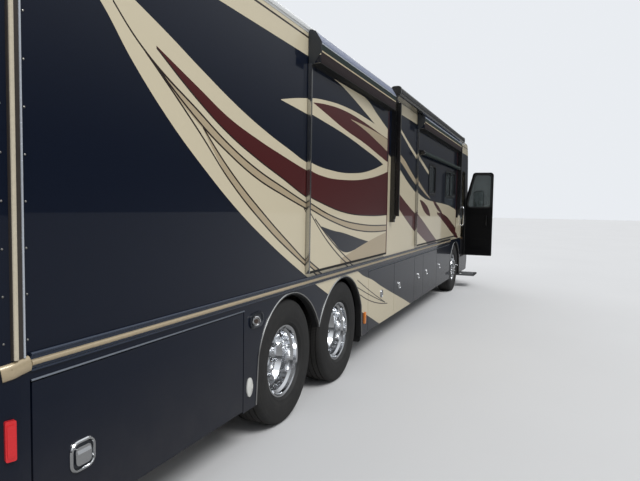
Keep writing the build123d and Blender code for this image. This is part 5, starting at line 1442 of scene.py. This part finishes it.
def stuffed(name, outline, y, width, held, seams, soft=0.026):
    """A pad cut to an outline seen from the side, blown up and sewn; held picks the points that rest."""
    shape = begin()
    plate(shape, [(x, y - width / 2, z) for x, z in outline], (0, width, 0))
    bmesh.ops.bevel(shape, geom=shape.edges[:], offset=soft, segments=3, affect="EDGES")
    bmesh.ops.recalc_face_normals(shape, faces=shape.faces)
    mesh = bpy.data.meshes.new(name)
    shape.to_mesh(mesh)
    shape.free()
    piece = stand(name, mesh)
    even = piece.modifiers.new("even", "REMESH")
    even.mode = "VOXEL"
    even.voxel_size = PAD_GRID
    graph = bpy.context.evaluated_depsgraph_get()
    mesh = bpy.data.meshes.new_from_object(piece.evaluated_get(graph))
    piece.modifiers.clear()
    piece.data = mesh
    start = [spot.co.copy() for spot in mesh.vertices]
    pinned = piece.vertex_groups.new(name="held")
    pinned.add([n for n, spot in enumerate(start) if held(spot)], 1.0, "REPLACE")
    cloth = piece.modifiers.new("stuffing", "CLOTH")
    cloth.settings.use_pressure = True
    cloth.settings.uniform_pressure_force = 4.0
    cloth.settings.effector_weights.gravity = 0
    cloth.settings.vertex_group_mass = "held"
    cloth.point_cache.frame_start = 1
    cloth.point_cache.frame_end = BLOW_STEPS
    for step in range(1, BLOW_STEPS + 1):
        bpy.context.scene.frame_set(step)
    graph = bpy.context.evaluated_depsgraph_get()
    blown = [spot.co.copy() for spot in piece.evaluated_get(graph).data.vertices]
    piece.modifiers.clear()
    piece.vertex_groups.clear()
    bpy.context.scene.frame_set(1)
    for spot, first, now in zip(mesh.vertices, start, blown):
        move = now - first
        spot.co = first + move * min(1.0, PAD_SWELL / max(move.length, 1e-6))
    for spot, normal in zip(mesh.vertices, [corner.vector.copy() for corner in mesh.vertex_normals]):
        if not held(spot.co):
            depth = sum(math.exp(-((spot.co[axis] - line) / SEAM_WIDTH) ** 2) for axis, line in seams)
            spot.co -= normal * SEAM_DEPTH * min(1.0, depth)
    mesh.materials.clear()
    mesh.materials.append(seat_leather)
    mesh.shade_smooth()
    smooth = piece.modifiers.new("smooth", "SUBSURF")
    smooth.levels = smooth.render_levels = 1
    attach(piece, "coach")


pans, arms_moulded = begin(), begin()
PEDESTAL = [(0.0, 0.0), (0.0, 0.190), (0.018, 0.190), (0.030, 0.176), (0.034, 0.120), (0.050, 0.105),
            (0.300, 0.105), (0.310, 0.075), (0.42, 0.070), (0.43, 0.150), (0.47, 0.155), (0.47, 0.0)]
for name, x, y in SEATS:
    stuffed(f"{name}_cushion",
            [(x - 0.222, 1.492), (x + 0.272, 1.492), (x + 0.272, 1.592), (x - 0.222, 1.574)],
            y, 0.464, lambda spot: spot.z < 1.510, [(1, y - 0.13), (1, y + 0.13), (0, x + 0.13)])
    stuffed(f"{name}_back",
            [(x - 0.278, 1.560), (x - 0.186, 1.560), (x - 0.298, 2.100), (x - 0.385, 2.100)],
            y, 0.444, lambda spot, x=x: spot.x < x - 0.262 - (spot.z - 1.56) * 0.198 + 0.004,
            [(1, y - 0.13), (1, y + 0.13), (2, 1.70), (2, 1.84), (2, 1.98)])
    stuffed(f"{name}_head_rest",
            [(x - 0.384, 2.118), (x - 0.318, 2.118), (x - 0.334, 2.312), (x - 0.396, 2.312)],
            y, 0.250, lambda spot, x=x: spot.x < x - 0.374, [(2, 2.18)], 0.020)
    lathe(pans, (x, y, FLOOR_Z), PEDESTAL, 40, (0, 0, 1))
    slab(pans, (x + 0.01, y, 1.446), rounded(0.47, 0.44, 0.05), (0, 0, 0.042))
    slab(pans, (x - 0.262, y, 1.80), rounded(0.40, 0.50, 0.06), (-0.012, 0, 0))
    for post in (-0.06, 0.06):
        sweep(pans, [(x - 0.345, y + post, 2.04), (x - 0.358, y + post, 2.16)], (0, 1, 0),
              round_bar(0.008))
    for side in (-1, 1):
        rest = [(x + reach, y + side * 0.280, z) for reach, z in
                ((-0.245, 1.738), (-0.10, 1.742), (0.05, 1.750), (0.138, 1.762))]
        sweep(arms_moulded, rest, (0, 0, 1), rounded(0.050, 0.046, 0.018))
        pin = [(x - 0.235, y + side * reach, 1.735) for reach in (0.20, 0.262)]
        sweep(pans, pin, (0, 0, 1), round_bar(0.016, 12))
bmesh.ops.bevel(pans, geom=[edge for edge in pans.edges if edge.calc_length() > 0.3], offset=0.004,
                segments=2, affect="EDGES")
seat_frames = fit_on("seat_frames", pans, satin_black)
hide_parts("cab_seats")
fit_on("seat_arm_rests", arms_moulded, soft_leather)

# The dashboard is moulded black vinyl with a hooded cluster of blank round dials before the driver,
# a screen and a column of switches in the middle, round air vents, and a wheel with a padded boss.
dials, rims, glassy, moulded = begin(), begin(), begin(), begin()
# The dashboard's slope: its way up, the way it faces, and its middle
SLOPE = Vector((0.0900, 0, 0.1000)).normalized()
FACING = Vector((-0.7433, 0, 0.6690))
MIDDLE = Vector((5.885, 0, 1.690))


def on_slope(across, up, lift=0.0):
    """A place on the dashboard's slope."""
    return MIDDLE + Vector((0, across, 0)) + SLOPE * up + FACING * lift


def slope_plate(shape, across, up, width, height, corner, low, thick):
    """A plate with round corners on the slope."""
    plate(shape, [on_slope(across + a, up + b, low) for a, b in rounded(width, height, corner)],
          FACING * thick)


slope_plate(moulded, 0.620, 0.0, 0.46, 0.118, 0.03, -0.004, 0.012)
slope_plate(moulded, 0.130, 0.0, 0.40, 0.118, 0.02, -0.004, 0.010)
slope_plate(glassy, 0.150, 0.004, 0.215, 0.098, 0.008, 0.004, 0.008)
for across, radius in ((0.480, 0.036), (0.560, 0.050), (0.680, 0.050), (0.760, 0.036)):
    spot = on_slope(across, 0.0, 0.007)
    lathe(dials, spot, [(0, 0), (0, radius - 0.004), (0.003, radius - 0.005), (0.0035, 0)], 28, FACING)
    lathe(rims, spot,
          [(0, radius - 0.004), (0, radius + 0.001), (0.007, radius + 0.001), (0.009, radius - 0.002),
           (0.007, radius - 0.005)], 32, FACING)
for n in range(8):
    slope_plate(glassy, -0.045, -0.045 + 0.0125 * n, 0.055, 0.008, 0.002, 0.004, 0.006)
for across in (0.90, 0.310, -0.350, -0.86):
    spot = on_slope(across, 0.002, 0.0)
    lathe(rims, spot, [(0, 0.036), (0, 0.044), (0.010, 0.044), (0.012, 0.040), (0.010, 0.036)], 28, FACING)
    lathe(moulded, spot, [(-0.002, 0), (-0.002, 0.036), (0.004, 0.036), (0.004, 0)], 28, FACING)
    for row in (-0.02, -0.01, 0.0, 0.01, 0.02):
        half = math.sqrt(0.034 ** 2 - row ** 2)
        vane = [on_slope(across + a, row + up, lift) for a, up, lift in
                ((-half, 0.002, 0.003), (half, 0.002, 0.003), (half, 0.006, 0.009), (-half, 0.006, 0.009))]
        plate(moulded, vane, FACING * 0.002)
# The hood over the dials: its arch across the coach, then how its rows run forward and down
HOOD_ARCH = [(0.36, 1.745), (0.39, 1.775), (0.44, 1.790), (0.62, 1.796), (0.80, 1.790),
             (0.85, 1.775), (0.88, 1.745)]
HOOD_ROWS = [(5.870, 0.0), (5.925, 0.0), (6.025, -0.024), (6.165, -0.075)]
layers = []
for thick in (0.0, 0.008):
    rows = [[moulded.verts.new((x, y, z + rise - thick)) for y, z in HOOD_ARCH] for x, rise in HOOD_ROWS]
    for one, two in zip(rows, rows[1:]):
        for n in range(len(one) - 1):
            moulded.faces.new((one[n], one[n + 1], two[n + 1], two[n]))
    layers.append(rows[0])
top, under = layers
for n in range(len(top) - 1):
    moulded.faces.new((top[n], top[n + 1], under[n + 1], under[n]))
WHEEL = Vector((5.700, 0.620, 1.690))
COLUMN = Vector((-1, 0, 0.65)).normalized()
boss = begin()
lathe(boss, WHEEL,
      [(-0.030, 0.0), (-0.030, 0.070), (0.012, 0.086), (0.024, 0.080), (0.032, 0.050), (0.034, 0.0)],
      36, COLUMN)
for spoke in (math.radians(-24), math.radians(204)):
    out = Vector((0, math.cos(spoke), 0)) + COLUMN.cross(Vector((0, 1, 0))) * math.sin(spoke)
    sweep(boss, [WHEEL + out * reach for reach in (0.05, 0.13, 0.212)], COLUMN,
          [(-0.019, -0.008), (-0.019, 0.008), (0.019, 0.008), (0.019, -0.008)])
dial_face = finish("dial_face", (0.02, 0.02, 0.022), 0.3, grain=300, coat=0.8)
screen_glass = finish("screen_glass", (0.006, 0.007, 0.009), 0.12, grain=60, coat=1.0)
fit_on("dash_mouldings", moulded, black_plastic)
fit_on("dash_dials", dials, dial_face)
fit_on("dash_rims", rims, bright_metal)
fit_on("dash_screen", glassy, screen_glass)
fit_on("wheel_boss", boss, black_plastic)
low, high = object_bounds()
